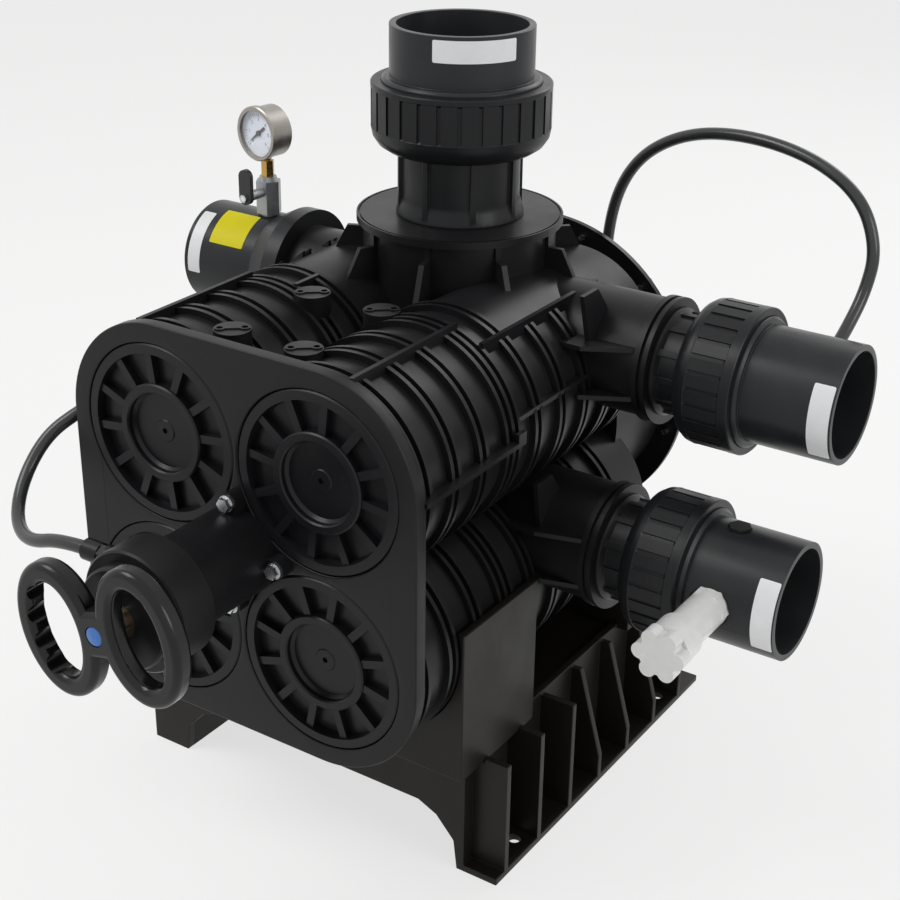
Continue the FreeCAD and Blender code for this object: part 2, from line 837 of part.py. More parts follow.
def side_bosses():
    """The two bosses on the right, each with two collars, flat plates, an upright wall and a socket."""
    adds = []
    cuts = []
    inner = D.pitch_x / 2
    for y, z, plate in ((PORT_Y, SIDE_Z, D.drain_plate_reach), (LOW_Y, LOW_Z, D.outlet_plate_reach)):
        adds.append(cylinder(D.boss_radius, D.boss_reach - inner, (inner, y, z), "X"))
        lip = D.boss_reach - D.boss_collar_lip
        ring = lip - D.boss_collar_groove - D.boss_collar_width
        adds.append(cylinder(D.boss_collar, D.boss_collar_lip, (lip, y, z), "X"))
        adds.append(cylinder(D.boss_collar, D.boss_collar_width, (ring, y, z), "X"))
        for level in (-1, 1):
            height = z + D.boss_plate_half * level - D.boss_plate / 2
            adds.append(slab([
                (inner, -plate), (D.boss_plate_bend, -plate), (D.boss_plate_end, -D.boss_plate_tip),
                (D.boss_plate_end, D.boss_plate_tip), (D.boss_plate_bend, plate), (inner, plate)],
                D.boss_plate, (0, y, height)))
        edge = D.boss_wall_front * plate / D.drain_plate_reach
        wall = slab([
            (-D.boss_wall_high, -edge), (D.boss_wall_low, -D.boss_wall_foot),
            (D.boss_wall_low, D.boss_wall_foot), (-D.boss_wall_high, D.boss_wall_top - edge)],
            D.boss_plate, (D.boss_plate_bend - D.boss_plate, y, z), "X")
        adds.append(wall)
        start = inner + D.bore_radius - D.window_half
        cuts.append(cylinder(D.side_bore, D.boss_reach - start, (start, y, z), "X"))
        spigot = D.side_bore + D.spigot_wall + D.gap
        seat = D.boss_reach - D.spigot_length - D.gap
        cuts.append(cylinder(spigot, D.spigot_length + D.gap, (seat, y, z), "X"))
    return adds, cuts


def slab(points, thick, at, axis="Z"):
    """A flat plate of a polygon's shape, pushed out along an axis from a point."""
    corners = [Vector(float(size(a)), float(size(b)), 0) for a, b in points]
    face = Part.Face(Part.makePolygon(corners + corners[:1]))
    return feature(face.extrude(Vector(0, 0, float(thick))), at, axis)


def fixed_bosses():
    """The two short bosses on the left, for the tails that have no union."""
    adds = []
    cuts = []
    inner = D.pitch_x / 2
    for y, z in ((PORT_Y, SIDE_Z), (LOW_Y, LOW_Z)):
        adds.append(cylinder(D.fixed_boss, SHOULDER - inner, (-inner, y, z), "-X"))
        start = inner + D.bore_radius - D.window_half
        cuts.append(cylinder(D.side_bore, SHOULDER - start, (-start, y, z), "-X"))
        cuts.append(cylinder(D.fixed_spigot + D.gap, D.spigot_length + D.gap,
                             (-SHOULDER + D.spigot_length + D.gap, y, z), "-X"))
    return adds, cuts


def lugs_and_fins():
    """Round lugs in the valley between the top barrels, and the long fins on both halves of the body."""
    adds = []
    cuts = []
    level = D.axis_height + D.pitch_z / 2
    top = D.axis_height + D.lug_top
    turn = math.radians(D.lug_hole_turn.value)
    for side in (-1, 1):
        x = D.lug_pitch_x / 2 * side
        for number in range(2):
            y = station(D.lug_first + D.lug_pitch_y * number)
            root = level + D.barrel_radius / 2
            adds.append(cylinder(D.lug_radius, top - root, (x, y, root)))
            for hole in (-1, 1):
                hole_x = x + D.lug_hole_pitch / 2 * (hole * math.cos(turn))
                hole_y = y + D.lug_hole_pitch / 2 * (hole * math.sin(turn))
                adds.append(cylinder(D.lug_pad, D.lug_pad_height, (hole_x, hole_y, top)))
                depth = D.lug_hole_depth + D.lug_pad_height
                cuts.append(cylinder(D.lug_hole, depth, (hole_x, hole_y, top - D.lug_hole_depth)))
            bar = Part.makeBox(float(D.lug_hole_pitch), float(D.lug_pad), float(D.lug_pad_height),
                               Vector(-float(D.lug_hole_pitch) / 2, -float(D.lug_pad) / 2, 0))
            adds.append(feature(bar, (x, y, top), Rotation(Vector(0, 0, 1), D.lug_hole_turn.value)))
        fin_x = (D.pitch_x / 2 + D.top_fin_shift) * side
        adds.append(box((fin_x - D.fin_thick / 2, WALL, level),
                        (fin_x + D.fin_thick / 2, JOINT_Y, level + D.barrel_radius + D.fin_reach)))
        root = D.pitch_x / 2
        edge = root + D.barrel_radius + D.side_fin_reach
        rear_edge = root + D.barrel_radius + D.rear_side_fin_reach
        low, high = (root, edge) if side > 0 else (-edge, -root)
        rear_low, rear_high = (root, rear_edge) if side > 0 else (-rear_edge, -root)
        height = level + D.side_fin_shift - D.fin_thick / 2
        rear_height = level + D.rear_side_fin_shift - D.fin_thick / 2
        adds.append(box((low, WALL, height), (high, JOINT_Y, height + D.fin_thick)))
        adds.append(box((rear_low, JOINT_Y, rear_height), (rear_high, PORT_Y, rear_height + D.fin_thick)))
        curl_low, curl_high = (edge - D.fin_thick, edge) if side > 0 else (-edge, -edge + D.fin_thick)
        adds.append(box((curl_low, JOINT_Y - D.side_curl, height),
                        (curl_high, JOINT_Y, height + D.side_curl)))
    right = D.pitch_x / 2 + D.rear_fin_shift
    adds.append(box((right - D.fin_thick / 2, JOINT_Y, level),
                    (right + D.fin_thick / 2, station(D.rear_fin_end), level + D.rear_fin_top)))
    left = -D.pitch_x / 2 + D.valley_fin_shift
    adds.append(box((left - D.fin_thick / 2, JOINT_Y, level),
                    (left + D.fin_thick / 2, station(D.valley_fin_end), level + D.valley_fin_top)))
    return adds, cuts


def bolt_places():
    for number in range(int(D.bolt_count.value)):
        angle = 2 * math.pi * (number + 0.5) / D.bolt_count.value
        yield D.bolt_circle * math.cos(angle), D.axis_height + D.bolt_circle * math.sin(angle)


def rear_face_cuts():
    """Bolt holes through the drum's flange, and the slot for its seal."""
    cuts = [cylinder(D.bolt_shank + D.gap, D.flange_thick, (x, DRUM_END - D.flange_thick, z), "Y")
            for x, z in bolt_places()]
    slot = doc.addObject("Part::Cut", "Slot")
    radius = D.drum_radius - D.drum_wall / 2
    start = (0, DRUM_END - D.seal_slot_depth, D.axis_height)
    slot.Base = cylinder(radius + D.seal_slot / 2, D.seal_slot_depth, start, "Y")
    slot.Tool = cylinder(radius - D.seal_slot / 2, D.seal_slot_depth, start, "Y")
    return cuts + [slot]


# ---------------------------------------------------------------- rear cover

def rear_cover():
    """A dished cap over the drum, with radial ribs on its back."""
    dome = D.dome_radius
    inner = dome - D.dome_wall
    depth = D.rear_depth
    body = turned("rear_cover", [
        (0, depth - D.rear_wall),
        (inner, depth - D.rear_wall),
        (inner, 0),
        (D.rear_flange_radius, 0),
        (D.rear_flange_radius, D.rear_flange_thick),
        (dome, D.rear_flange_thick),
        (dome, depth - D.rear_chamfer),
        (dome - D.rear_chamfer, depth),
        (D.rear_hub, depth),
        (D.rear_hub, depth + D.rear_hub_height),
        (0, depth + D.rear_hub_height),
    ])
    root = D.rear_hub / 2
    sink = D.rear_wall / 2
    rib = body.newObject("PartDesign::Pad", "rear_rib")
    rib.Profile = outline(body, "rear_rib_outline", [
        (root, -D.rear_rib / 2), (dome - D.rear_chamfer, -D.rear_rib / 2),
        (dome - D.rear_chamfer, D.rear_rib / 2), (root, D.rear_rib / 2)], "XY_Plane")
    rib.Profile[0].setExpression("AttachmentOffset.Base.z", (depth - sink).text)
    bind(rib, Length=D.rear_hub_height / 2 + sink)
    doc.recompute()
    around(body, "rear_ribs", [rib], D.rear_rib_count)
    place(body, (0, DRUM_END, D.axis_height), "Y")
    bores = [cylinder(D.bolt_shank + D.gap, D.rear_flange_thick, (x, DRUM_END, z), "Y")
             for x, z in bolt_places()]
    x, z = rear_fitting_place()
    bores.append(cylinder(D.nipple_radius + D.gap, depth, (x, DRUM_END, z), "Y"))
    node("rear_cover", cut(body, bores))
    radius = D.drum_radius - D.drum_wall / 2
    section = D.seal_slot_depth / 2 - D.seal_play
    node("rear_seal", torus(radius, section, (0, DRUM_END - D.seal_slot_depth / 2, D.axis_height), "Y"))
    shank = D.rear_flange_thick + D.flange_thick + D.bolt_tip
    bolts = [hex_bolt(D.bolt_shank, D.bolt_head, D.bolt_head_height, shank,
                      (x, DRUM_END + D.rear_flange_thick, z), "Y") for x, z in bolt_places()]
    group("rear_bolts", bolts)


def rear_fitting_place():
    """Across and up to the hose fitting on the rear cover, between two ribs."""
    angle = math.radians(D.rear_fitting_angle.value)
    return D.rear_fitting_circle * math.cos(angle), D.axis_height + D.rear_fitting_circle * math.sin(angle)


def hex_prism(radius, height, at, axis="Z"):
    """A hexagonal prism; its radius is measured to the corners."""
    obj = bind(doc.addObject("Part::Prism", "Hex"), Circumradius=radius, Height=height)
    obj.Polygon = 6
    return place(obj, at, axis)


OPPOSITE = {"X": "-X", "-X": "X", "Y": "-Y", "-Y": "Y", "Z": "-Z", "-Z": "Z"}


def hex_bolt(shank, head, head_height, length, at, axis):
    """A bolt whose head sits at a point and faces along an axis."""
    return fuse([hex_prism(head, head_height, at, axis), cylinder(shank, length, at, OPPOSITE[axis])])


# ---------------------------------------------------------------- stand

def stand():
    """The moulded base: two side walls on flanges with gussets, a deck, and end walls with an arch."""
    half = D.stand_half
    wall = D.stand_wall
    front = -D.stand_length / 2
    back = D.stand_length / 2
    inside = half - wall
    parts = []
    holes = []
    for side in (-1, 1):
        low, high = (inside, half) if side > 0 else (-half, -inside)
        parts.append(box((low, front, 0), (high, back, STAND_TOP)))
        low, high = (inside, D.flange_half) if side > 0 else (-D.flange_half, -inside)
        parts.append(box((low, front, 0), (high, back, D.foot_plate)))
        root = half - wall / 2
        sole = D.foot_plate / 2
        shelf = STAND_TOP - D.brace_drop
        for number in range(int(D.brace_count.value)):
            first = D.brace_left_first if side < 0 and number == 0 else D.brace_first
            y = front + first + D.brace_pitch * number
            wide = number < D.brace_wide.value
            toe = shelf - D.brace_drop / 2 if wide else D.foot_plate + D.brace_toe
            reach = D.brace_flat if wide else D.brace_slim
            profile = [
                (root, sole), (D.flange_half, sole), (D.flange_half, toe), (half + reach, shelf),
                (root, shelf)]
            parts.append(fin_plate(profile, D.brace_thick, (0, y), 0 if side > 0 else 180))
        for end in (-1, 1):
            x = D.bolt_x / 2 * side
            holes.append(cylinder(D.bolt_hole, D.foot_plate, (x, D.bolt_y / 2 * end, 0)))
    for low, high in ((front, front + wall), (back - wall, back)):
        parts.append(box((-half, low, D.arch_height), (half, high, STAND_TOP)))
        for side in (-1, 1):
            profile = [
                (D.arch_half, D.arch_height + wall), (half - wall / 2, D.arch_height + wall),
                (half - wall / 2, 0), (inside, 0), (inside - D.arch_foot, D.arch_height / 2),
                (inside - D.arch_round, D.arch_height * D.arch_knee)]
            parts.append(fin_plate(profile, wall, (0, (low + high) / 2), 0 if side > 0 else 180))
    parts.append(box((-inside, front + wall, SADDLE_FLOOR - wall), (inside, back - wall, SADDLE_FLOOR)))
    node("stand", cut(fuse(parts), holes + saddle_pockets()))


def saddle_span(end):
    """The two Y values between which a saddle lies, at the front (-1) or the back (1)."""
    if end < 0:
        start = station(D.saddle_start)
        return start, start + D.saddle_length
    finish = DRUM_END - D.flange_thick - D.saddle_clear
    return finish - D.saddle_length, finish


def saddle_pockets():
    """Room for the saddles in the stand's top."""
    return [box((-D.saddle_half - D.gap, saddle_span(end)[0] - D.gap, SADDLE_FLOOR),
                (D.saddle_half + D.gap, saddle_span(end)[1] + D.gap, D.axis_height)) for end in (-1, 1)]


def saddle(name, end):
    """A block whose top is shaped to the lower barrels and, at the back, the drum."""
    low, high = saddle_span(end)
    top = D.axis_height - (D.saddle_drop if end < 0 else D.saddle_rear_drop)
    block = box((-D.saddle_half, low, SADDLE_FLOOR), (D.saddle_half, high, top))
    clear = D.barrel_radius + D.rib_height + D.gap
    drum = BARREL_END - D.bulkhead - D.gap
    start = low - D.gap
    finish = high + D.gap if end < 0 else BARREL_END + D.gap
    cuts = []
    for side in (-1, 1):
        x, z = corner(side, -1)
        cuts.append(cylinder(clear, finish - start, (x, start, z), "Y"))
    middle = D.axis_height
    cuts.append(box((-D.pitch_x / 2, start, middle - D.pitch_z / 2), (D.pitch_x / 2, finish, middle)))
    if end > 0:
        cuts.append(cylinder(D.drum_radius + D.gap, D.saddle_length, (0, drum, D.axis_height), "Y"))
    node(name, cut(block, cuts))


# ---------------------------------------------------------------- operator

def operator():
    """The cylinder on the front plate with its four ears, its collar with the nose, and the rod's guide."""
    front = station(0)
    middle = D.axis_height
    inner = D.cylinder_radius - D.cylinder_wall
    start = D.cylinder_length
    end = start + D.collar_length
    body = turned("operator_cylinder", [
        (inner, 0), (D.cylinder_radius, 0), (D.cylinder_radius, start + D.collar_overlap),
        (inner, start + D.collar_overlap)])
    place(body, (0, front, middle), "-Y")
    reach = D.screw_circle
    ear = D.ear_radius
    ears = [
        box((-reach, front - D.foot_thick, middle - ear), (reach, front, middle + ear)),
        box((-ear, front - D.foot_thick, middle - reach), (ear, front, middle + reach))]
    holes = [cylinder(inner, D.foot_thick, (0, front, middle), "-Y")]
    for x, z in screw_places():
        ears.append(cylinder(ear, D.foot_thick, (x, front, z), "-Y"))
        holes.append(cylinder(D.screw_radius + D.gap, D.foot_thick, (x, front, z), "-Y"))
    port_y = station(-D.fitting_depth)
    port_z = middle + D.fitting_rise
    port = cylinder(D.nipple_radius + D.gap, D.collar_radius * 2, (0, port_y, port_z), "-X")
    node("operator_cylinder", cut(fuse([body] + ears), holes + [port]))
    screws = []
    length = D.foot_thick + D.screw_grip + D.washer_thick
    for x, z in screw_places():
        bolt = hex_bolt(D.screw_radius, D.screw_head, D.screw_head_height, length,
                        (x, front - D.foot_thick - D.washer_thick, z), "-Y")
        washer = cylinder(D.washer_radius, D.washer_thick, (x, front - D.foot_thick, z), "-Y")
        screws.append(fuse([bolt, washer]))
    group("operator_screws", screws)
    sleeve = D.cylinder_radius + D.gap
    guide = D.guide_radius + D.gap
    step = D.collar_step
    collar = turned("operator_collar", [
        (sleeve, start), (D.collar_radius - step, start), (D.collar_radius, start + step),
        (D.collar_radius, end - step), (D.collar_radius - step, end), (D.nose_radius, end),
        (D.nose_radius, end + D.nose_length - step), (D.nose_radius - step, end + D.nose_length),
        (guide, end + D.nose_length), (guide, end - D.nose_length / 2),
        (inner, end - D.nose_length / 2), (inner, start + D.collar_overlap + D.gap),
        (sleeve, start + D.collar_overlap + D.gap)])
    place(collar, (0, front, middle), "-Y")
    boss_height = D.collar_radius + D.spot_height - D.nose_radius
    boss = cylinder(D.spot_radius, boss_height, (-D.nose_radius, port_y, port_z), "-X")
    node("operator_collar", cut(fuse([collar, boss]), [port]))
    node("rod_guide", place(turned("rod_guide", [
        (D.rod_radius + D.rod_play, end - D.nose_length / 2), (D.guide_radius, end - D.nose_length / 2),
        (D.guide_radius, end + D.nose_length), (D.rod_radius + D.rod_play, end + D.nose_length)]),
        (0, front, middle), "-Y"))


# ---------------------------------------------------------------- handle and spool train

def handle():
    """Two finger rings side by side on a waist, with scallops for four fingers in each."""
    thick = float(D.handle_thick)
    half_wide = float(D.ring_half_width)
    half_high = float(D.ring_half_height)
    grip = float(D.ring_grip)
    offset = float(D.ring_offset)

    def ellipse(across, up, shift):
        big, small = max(across, up), min(across, up)
        curve = Part.Ellipse(Vector(0, 0, 0), big, small).toShape()
        shape = Part.Face(Part.Wire(curve)).extrude(Vector(0, 0, thick))
        if up > across:
            shape.rotate(Vector(), Vector(0, 0, 1), 90)
        shape.translate(Vector(shift, 0, -thick / 2))
        return shape

    waist = float(D.waist_half)
    hub = Part.makeBox(waist * 2, waist * 2, thick, Vector(-waist, -waist, -thick / 2))
    outer = ellipse(half_wide, half_high, -offset).fuse([ellipse(half_wide, half_high, offset), hub])
    outer = outer.removeSplitter()
    for side in (-1, 1):
        outer = outer.cut(ellipse(half_wide - grip, half_high - grip, offset * side))
    rounding = float(D.handle_round)
    flat = [edge for edge in outer.Edges if abs(abs(edge.CenterOfMass.z) - thick / 2) < 1e-3]
    outer = outer.makeFillet(rounding, flat)
    finger = float(D.finger_radius)
    for side in (-1, 1):
        for number in range(int(D.finger_count.value)):
            angle = math.radians(float(D.finger_angle) * (number - (D.finger_count.value - 1) / 2))
            across = (half_wide - grip) * math.cos(angle) - finger * D.finger_sink.value
            up = (half_high - grip) * math.sin(angle)
            scallop = Part.makeCylinder(finger, thick * 2, Vector(side * (offset + across), up, -thick))
            outer = outer.cut(scallop)
    low = Vector(0, 0, -thick / 2 - float(D.rod_stop))
    socket = Part.makeCylinder(float(D.rod_radius + D.gap), thick, low)
    low = Vector(0, 0, thick / 2 - float(D.badge_thick))
    seat = Part.makeCylinder(float(D.badge_radius + D.gap), thick, low)
    outer = outer.cut([socket, seat])
    turn = TURN["-Y"].multiply(Rotation(Vector(0, 0, 1), float(D.handle_turn)))
    shape = feature(outer, (0, station(-D.handle_stand_off), D.axis_height), turn)
    node("handle", shape)
    face = station(-D.handle_stand_off) - D.handle_thick / 2
    node("handle_cap", place(turned("handle_cap", [
        (0, -D.badge_thick), (D.badge_radius, -D.badge_thick), (D.badge_radius, -D.cap_round),
        (D.badge_radius - D.cap_round, 0), (D.badge_radius / 2, D.cap_round / 2), (0, D.cap_round)]),
        (0, face, D.axis_height), "-Y"))


def spool_train():
    """The pull rod, the crosshead behind the barrels, its nuts and the four spools."""
    tip = station(-D.handle_stand_off) + D.rod_stop - D.handle_thick / 2
    yoke = DRUM_END + D.rear_depth - D.rear_wall - D.yoke_clear - D.yoke_thick
    end = yoke + D.yoke_thick + D.nut_height + D.thread_tip
    middle = D.axis_height
    neck = D.rod_radius - D.rod_neck
    node("pull_rod", fuse([
        cylinder(D.rod_radius, yoke - tip, (0, tip, middle), "Y"),
        cylinder(neck, end - tip, (0, tip, middle), "Y"),
        cylinder(D.cylinder_radius - D.cylinder_wall - D.gap, D.piston_thick,
                 (0, station(-D.piston_start - D.piston_thick), middle), "Y")]))
    half = D.arm_width / 2
    reach = (float(D.pitch_x) ** 2 + float(D.pitch_z) ** 2) ** 0.5 / 2
    arms = []
    for side, level in CORNERS.values():
        x, z = corner(side, level)
        arms.append(cylinder(D.arm_width / 2, D.yoke_thick, (x, yoke, z), "Y"))
        angle = math.degrees(math.atan2(float(D.pitch_z) * level, float(D.pitch_x) * side))
        arm = Part.makeBox(reach, float(D.arm_width), float(D.yoke_thick), Vector(0, -float(half), 0))
        turn = TURN["Y"].multiply(Rotation(Vector(0, 0, 1), -angle))
        arms.append(feature(arm, (0, yoke, middle), turn))
    arms.append(cylinder(D.hub_width / 2, D.yoke_thick, (0, yoke, middle), "Y"))
    holes = [cylinder(neck + D.gap, D.yoke_thick, (0, yoke, middle), "Y")]
    nuts = [ring_nut(neck, (0, yoke + D.yoke_thick, middle))]
    rings = []
    for name, (side, level) in CORNERS.items():
        x, z = corner(side, level)
        holes.append(cylinder(D.spool_rod - D.rod_neck + D.gap, D.yoke_thick, (x, yoke, z), "Y"))
        nuts.append(ring_nut(D.spool_rod - D.rod_neck, (x, yoke + D.yoke_thick, z)))
        rings += spool(name, x, z, yoke, end)
    node("crosshead", cut(fuse(arms), holes))
    group("crosshead_nuts", nuts)
    group("spool_seals", rings)


def ring_nut(inner, at):
    """A hexagonal nut on a rod's end."""
    hole = cylinder(inner + D.gap, D.nut_height, at, "Y")
    return cut(hex_prism(inner * D.nut_share, D.nut_height, at, "Y"), [hole])


def spool(name, x, z, yoke, end):
    """One spool: a rod with its discs, each with a slot for its ring."""
    start = station(D.spool_first)
    last = BARREL_END - D.bulkhead - D.spool_rear_clear - D.disc_width
    pitch = (last - start - D.spool_lead) / (D.spool_discs - 1)
    radius = D.bore_radius - D.gap
    rod = D.spool_rod
    profile = [(0, 0), (rod, 0)]
    rings = []
    for number in range(int(D.spool_discs.value)):
        low = D.spool_lead + pitch * number
        high = low + D.disc_width
        slot = low + D.disc_width / 2 - D.seal_slot / 2
        profile += [
            (rod, low), (radius, low), (radius, slot), (radius - D.seal_slot_depth, slot),
            (radius - D.seal_slot_depth, slot + D.seal_slot), (radius, slot + D.seal_slot),
            (radius, high), (rod, high)]
        centre = (x, start + low + D.disc_width / 2, z)
        rings.append(torus(radius - D.seal_slot_depth / 2, D.seal_slot_depth / 2 - D.seal_play, centre, "Y"))
    length = yoke - start
    profile += [(rod, length), (rod - D.rod_neck, length), (rod - D.rod_neck, end - start), (0, end - start)]
    node(f"spool_{name}", place(turned(f"spool_{name}", profile), (x, start, z), "Y"))
    return rings


# ---------------------------------------------------------------- pipe unions

def union(name, kind, at, axis):
    """A port end, its captive nut, the tail with the pipe socket, and the seal between them."""
    def own(what):
        return getattr(D, f"{kind}_{what}")

    neck, bore, show, thread = own("neck"), own("bore"), own("show"), own("thread_radius")
    radius = own("nut_radius")
    flange = thread - D.gap - D.union_inset
    under = show + D.union_lip + D.gap
    face = under + D.union_flange
    spigot = bore + D.spigot_wall
    panel = neck - own("neck_rib_depth")
    middle = (bore + flange) / 2
    body = turned(f"{name}_end", [
        (bore, -D.spigot_length), (spigot, -D.spigot_length), (spigot, 0), (own("foot_radius"), 0),
        (own("foot_radius"), own("foot_lip")), (panel, own("foot_width")), (panel, under),
        (flange, under), (flange, face),
        (middle + D.seal_slot / 2, face), (middle + D.seal_slot / 2, face - D.seal_slot_depth),
        (middle - D.seal_slot / 2, face - D.seal_slot_depth), (middle - D.seal_slot / 2, face), (bore, face)])
    inside = (bore + panel) / 2
    rib = ring_rib(body, f"{name}_end_rib", inside, neck, own("foot_lip") / 2, show, D.neck_rib_width)
    around(body, f"{name}_end_ribs", [rib], own("neck_ribs"))
    node(f"{name}_end", place(body, at, axis))
    stop = show + own("nut_length")
    skin = radius - D.nut_rib_depth
    bend = own("nut_round")
    bowl = []
    for part in range(5):
        angle = math.pi / 8 * part
        bowl.append((radius - bend * (1 - math.sin(angle)), show + bend * (1 - math.cos(angle))))
    band = stop - own("nut_band")
    nut = turned(f"{name}_nut", [(neck + D.gap, show)] + bowl + [
        (skin, show + bend + D.nut_rib_depth), (skin, band - D.nut_rib_depth), (radius, band),
        (radius, stop - D.cap_round), (radius - D.cap_round, stop), (thread + D.gap, stop),
        (thread + D.gap, show + D.union_lip), (neck + D.gap, show + D.union_lip)])
    deep = skin - D.nut_rib_depth / 2
    rib = ring_rib(nut, f"{name}_nut_rib", deep, radius - D.nut_rib_sink, show + bend, band, own("nut_rib"))
    around(nut, f"{name}_nut_ribs", [rib], D.nut_rib_count)
    node(f"{name}_nut", place(nut, at, axis))
    outer = own("socket_outer")
    rim = stop + own("tail_length")
    start = face + D.gap
    shoulder = stop + D.union_shoulder
    tail = turned(f"{name}_tail", [
        (bore, start), (thread, start), (thread, shoulder - D.union_shoulder_edge),
        (thread - D.union_shoulder_edge, shoulder), (outer, shoulder),
        (outer, rim), (own("socket_bore"), rim), (own("socket_bore"), rim - own("socket_depth")),
        (bore, rim - own("socket_depth"))])
    section = D.seal_slot_depth / 2 - D.seal_play
    seal = torus(middle, section, offset_along(at, axis, face - D.seal_slot_depth / 2), axis)
    node(f"{name}_seal", seal)
    return place(tail, at, axis)


def ring_rib(body, name, inner, outer, low, high, width):
    """A rib on a round body, parallel to its axis."""
    sketch = outline(body, f"{name}_outline", [(inner, low), (outer, low), (outer, high), (inner, high)])
    pad = body.newObject("PartDesign::Pad", name)
    pad.Profile = sketch
    pad.Midplane = True
    bind(pad, Length=width)
    doc.recompute()
    return pad


def offset_along(at, axis, distance):
    """A point moved along one of the row's axes."""
    sign = -1 if axis.startswith("-") else 1
    index = "XYZ".index(axis[-1])
    return tuple(size(v) + distance * sign if i == index else v for i, v in enumerate(at))


def fixed_tail(name, y, z):
    """A tail that is glued straight into its boss on the left, with a thick collar at its root."""
    length = D.fixed_reach - SHOULDER
    collar = D.fixed_collar_end - SHOULDER
    tail = turned(name, [
        (D.side_bore, -D.spigot_length), (D.fixed_spigot, -D.spigot_length), (D.fixed_spigot, 0),
        (D.fixed_collar, 0), (D.fixed_collar, collar - D.fixed_taper), (D.side_socket_outer, collar),
        (D.side_socket_outer, length), (D.side_socket_bore, length),
        (D.side_socket_bore, length - D.side_socket_depth), (D.side_bore, length - D.side_socket_depth)])
    return place(tail, (-SHOULDER, y, z), "-X")


def ports():
    node("upper_port_tail", union("upper_port", "top", (0, PORT_Y, DISC_Z), "Z"))
    outer = D.side_socket_outer
    deep = outer + D.spot_radius
    tail = union("drain", "side", (D.boss_reach, PORT_Y, SIDE_Z), "X")
    root = D.side_socket_bore + D.gap
    boss = cylinder(D.spot_radius, outer - root + D.spot_height, (DRAIN_X, PORT_Y + root, SIDE_Z), "Y")
    hole = cylinder(D.nipple_radius + D.gap, deep, (DRAIN_X, PORT_Y, SIDE_Z), "Y")
    node("drain_tail", cut(fuse([tail, boss]), [hole]))
    tail = union("outlet", "side", (D.boss_reach, LOW_Y, LOW_Z), "X")
    node("outlet_tail", cut(tail, [
        cylinder(D.tap_shank + D.gap, deep, (TAP_X, LOW_Y, LOW_Z), "-Y"),
        cylinder(D.tap_hex + D.gap, deep, (TAP_X, LOW_Y - outer + D.tap_seat_depth, LOW_Z), "-Y"),
        cylinder(D.plug_shank + D.gap, deep, (TAP_X, LOW_Y, LOW_Z)),
        cylinder(D.plug_head + D.gap, deep, (TAP_X, LOW_Y, LOW_Z + outer - D.spot_depth))]))
    inlet = fixed_tail("inlet_tail", PORT_Y, SIDE_Z)
    node("inlet_tail", cut(inlet, [
        cylinder(D.stem_radius + D.gap, deep, (-D.gauge_place, PORT_Y, SIDE_Z)),
        cylinder(D.spot_radius + D.gap, deep, (-D.gauge_place, PORT_Y, COCK_Z))]))
    node("lower_port_tail", fixed_tail("lower_port_tail", LOW_Y, LOW_Z))


# ---------------------------------------------------------------- gauge and its valve

COCK_Z = SIDE_Z + D.side_socket_outer - D.spot_depth
GAUGE_TURN = Rotation(Vector(0, 0, 1), -D.gauge_turn.value).multiply(TURN["-Y"])


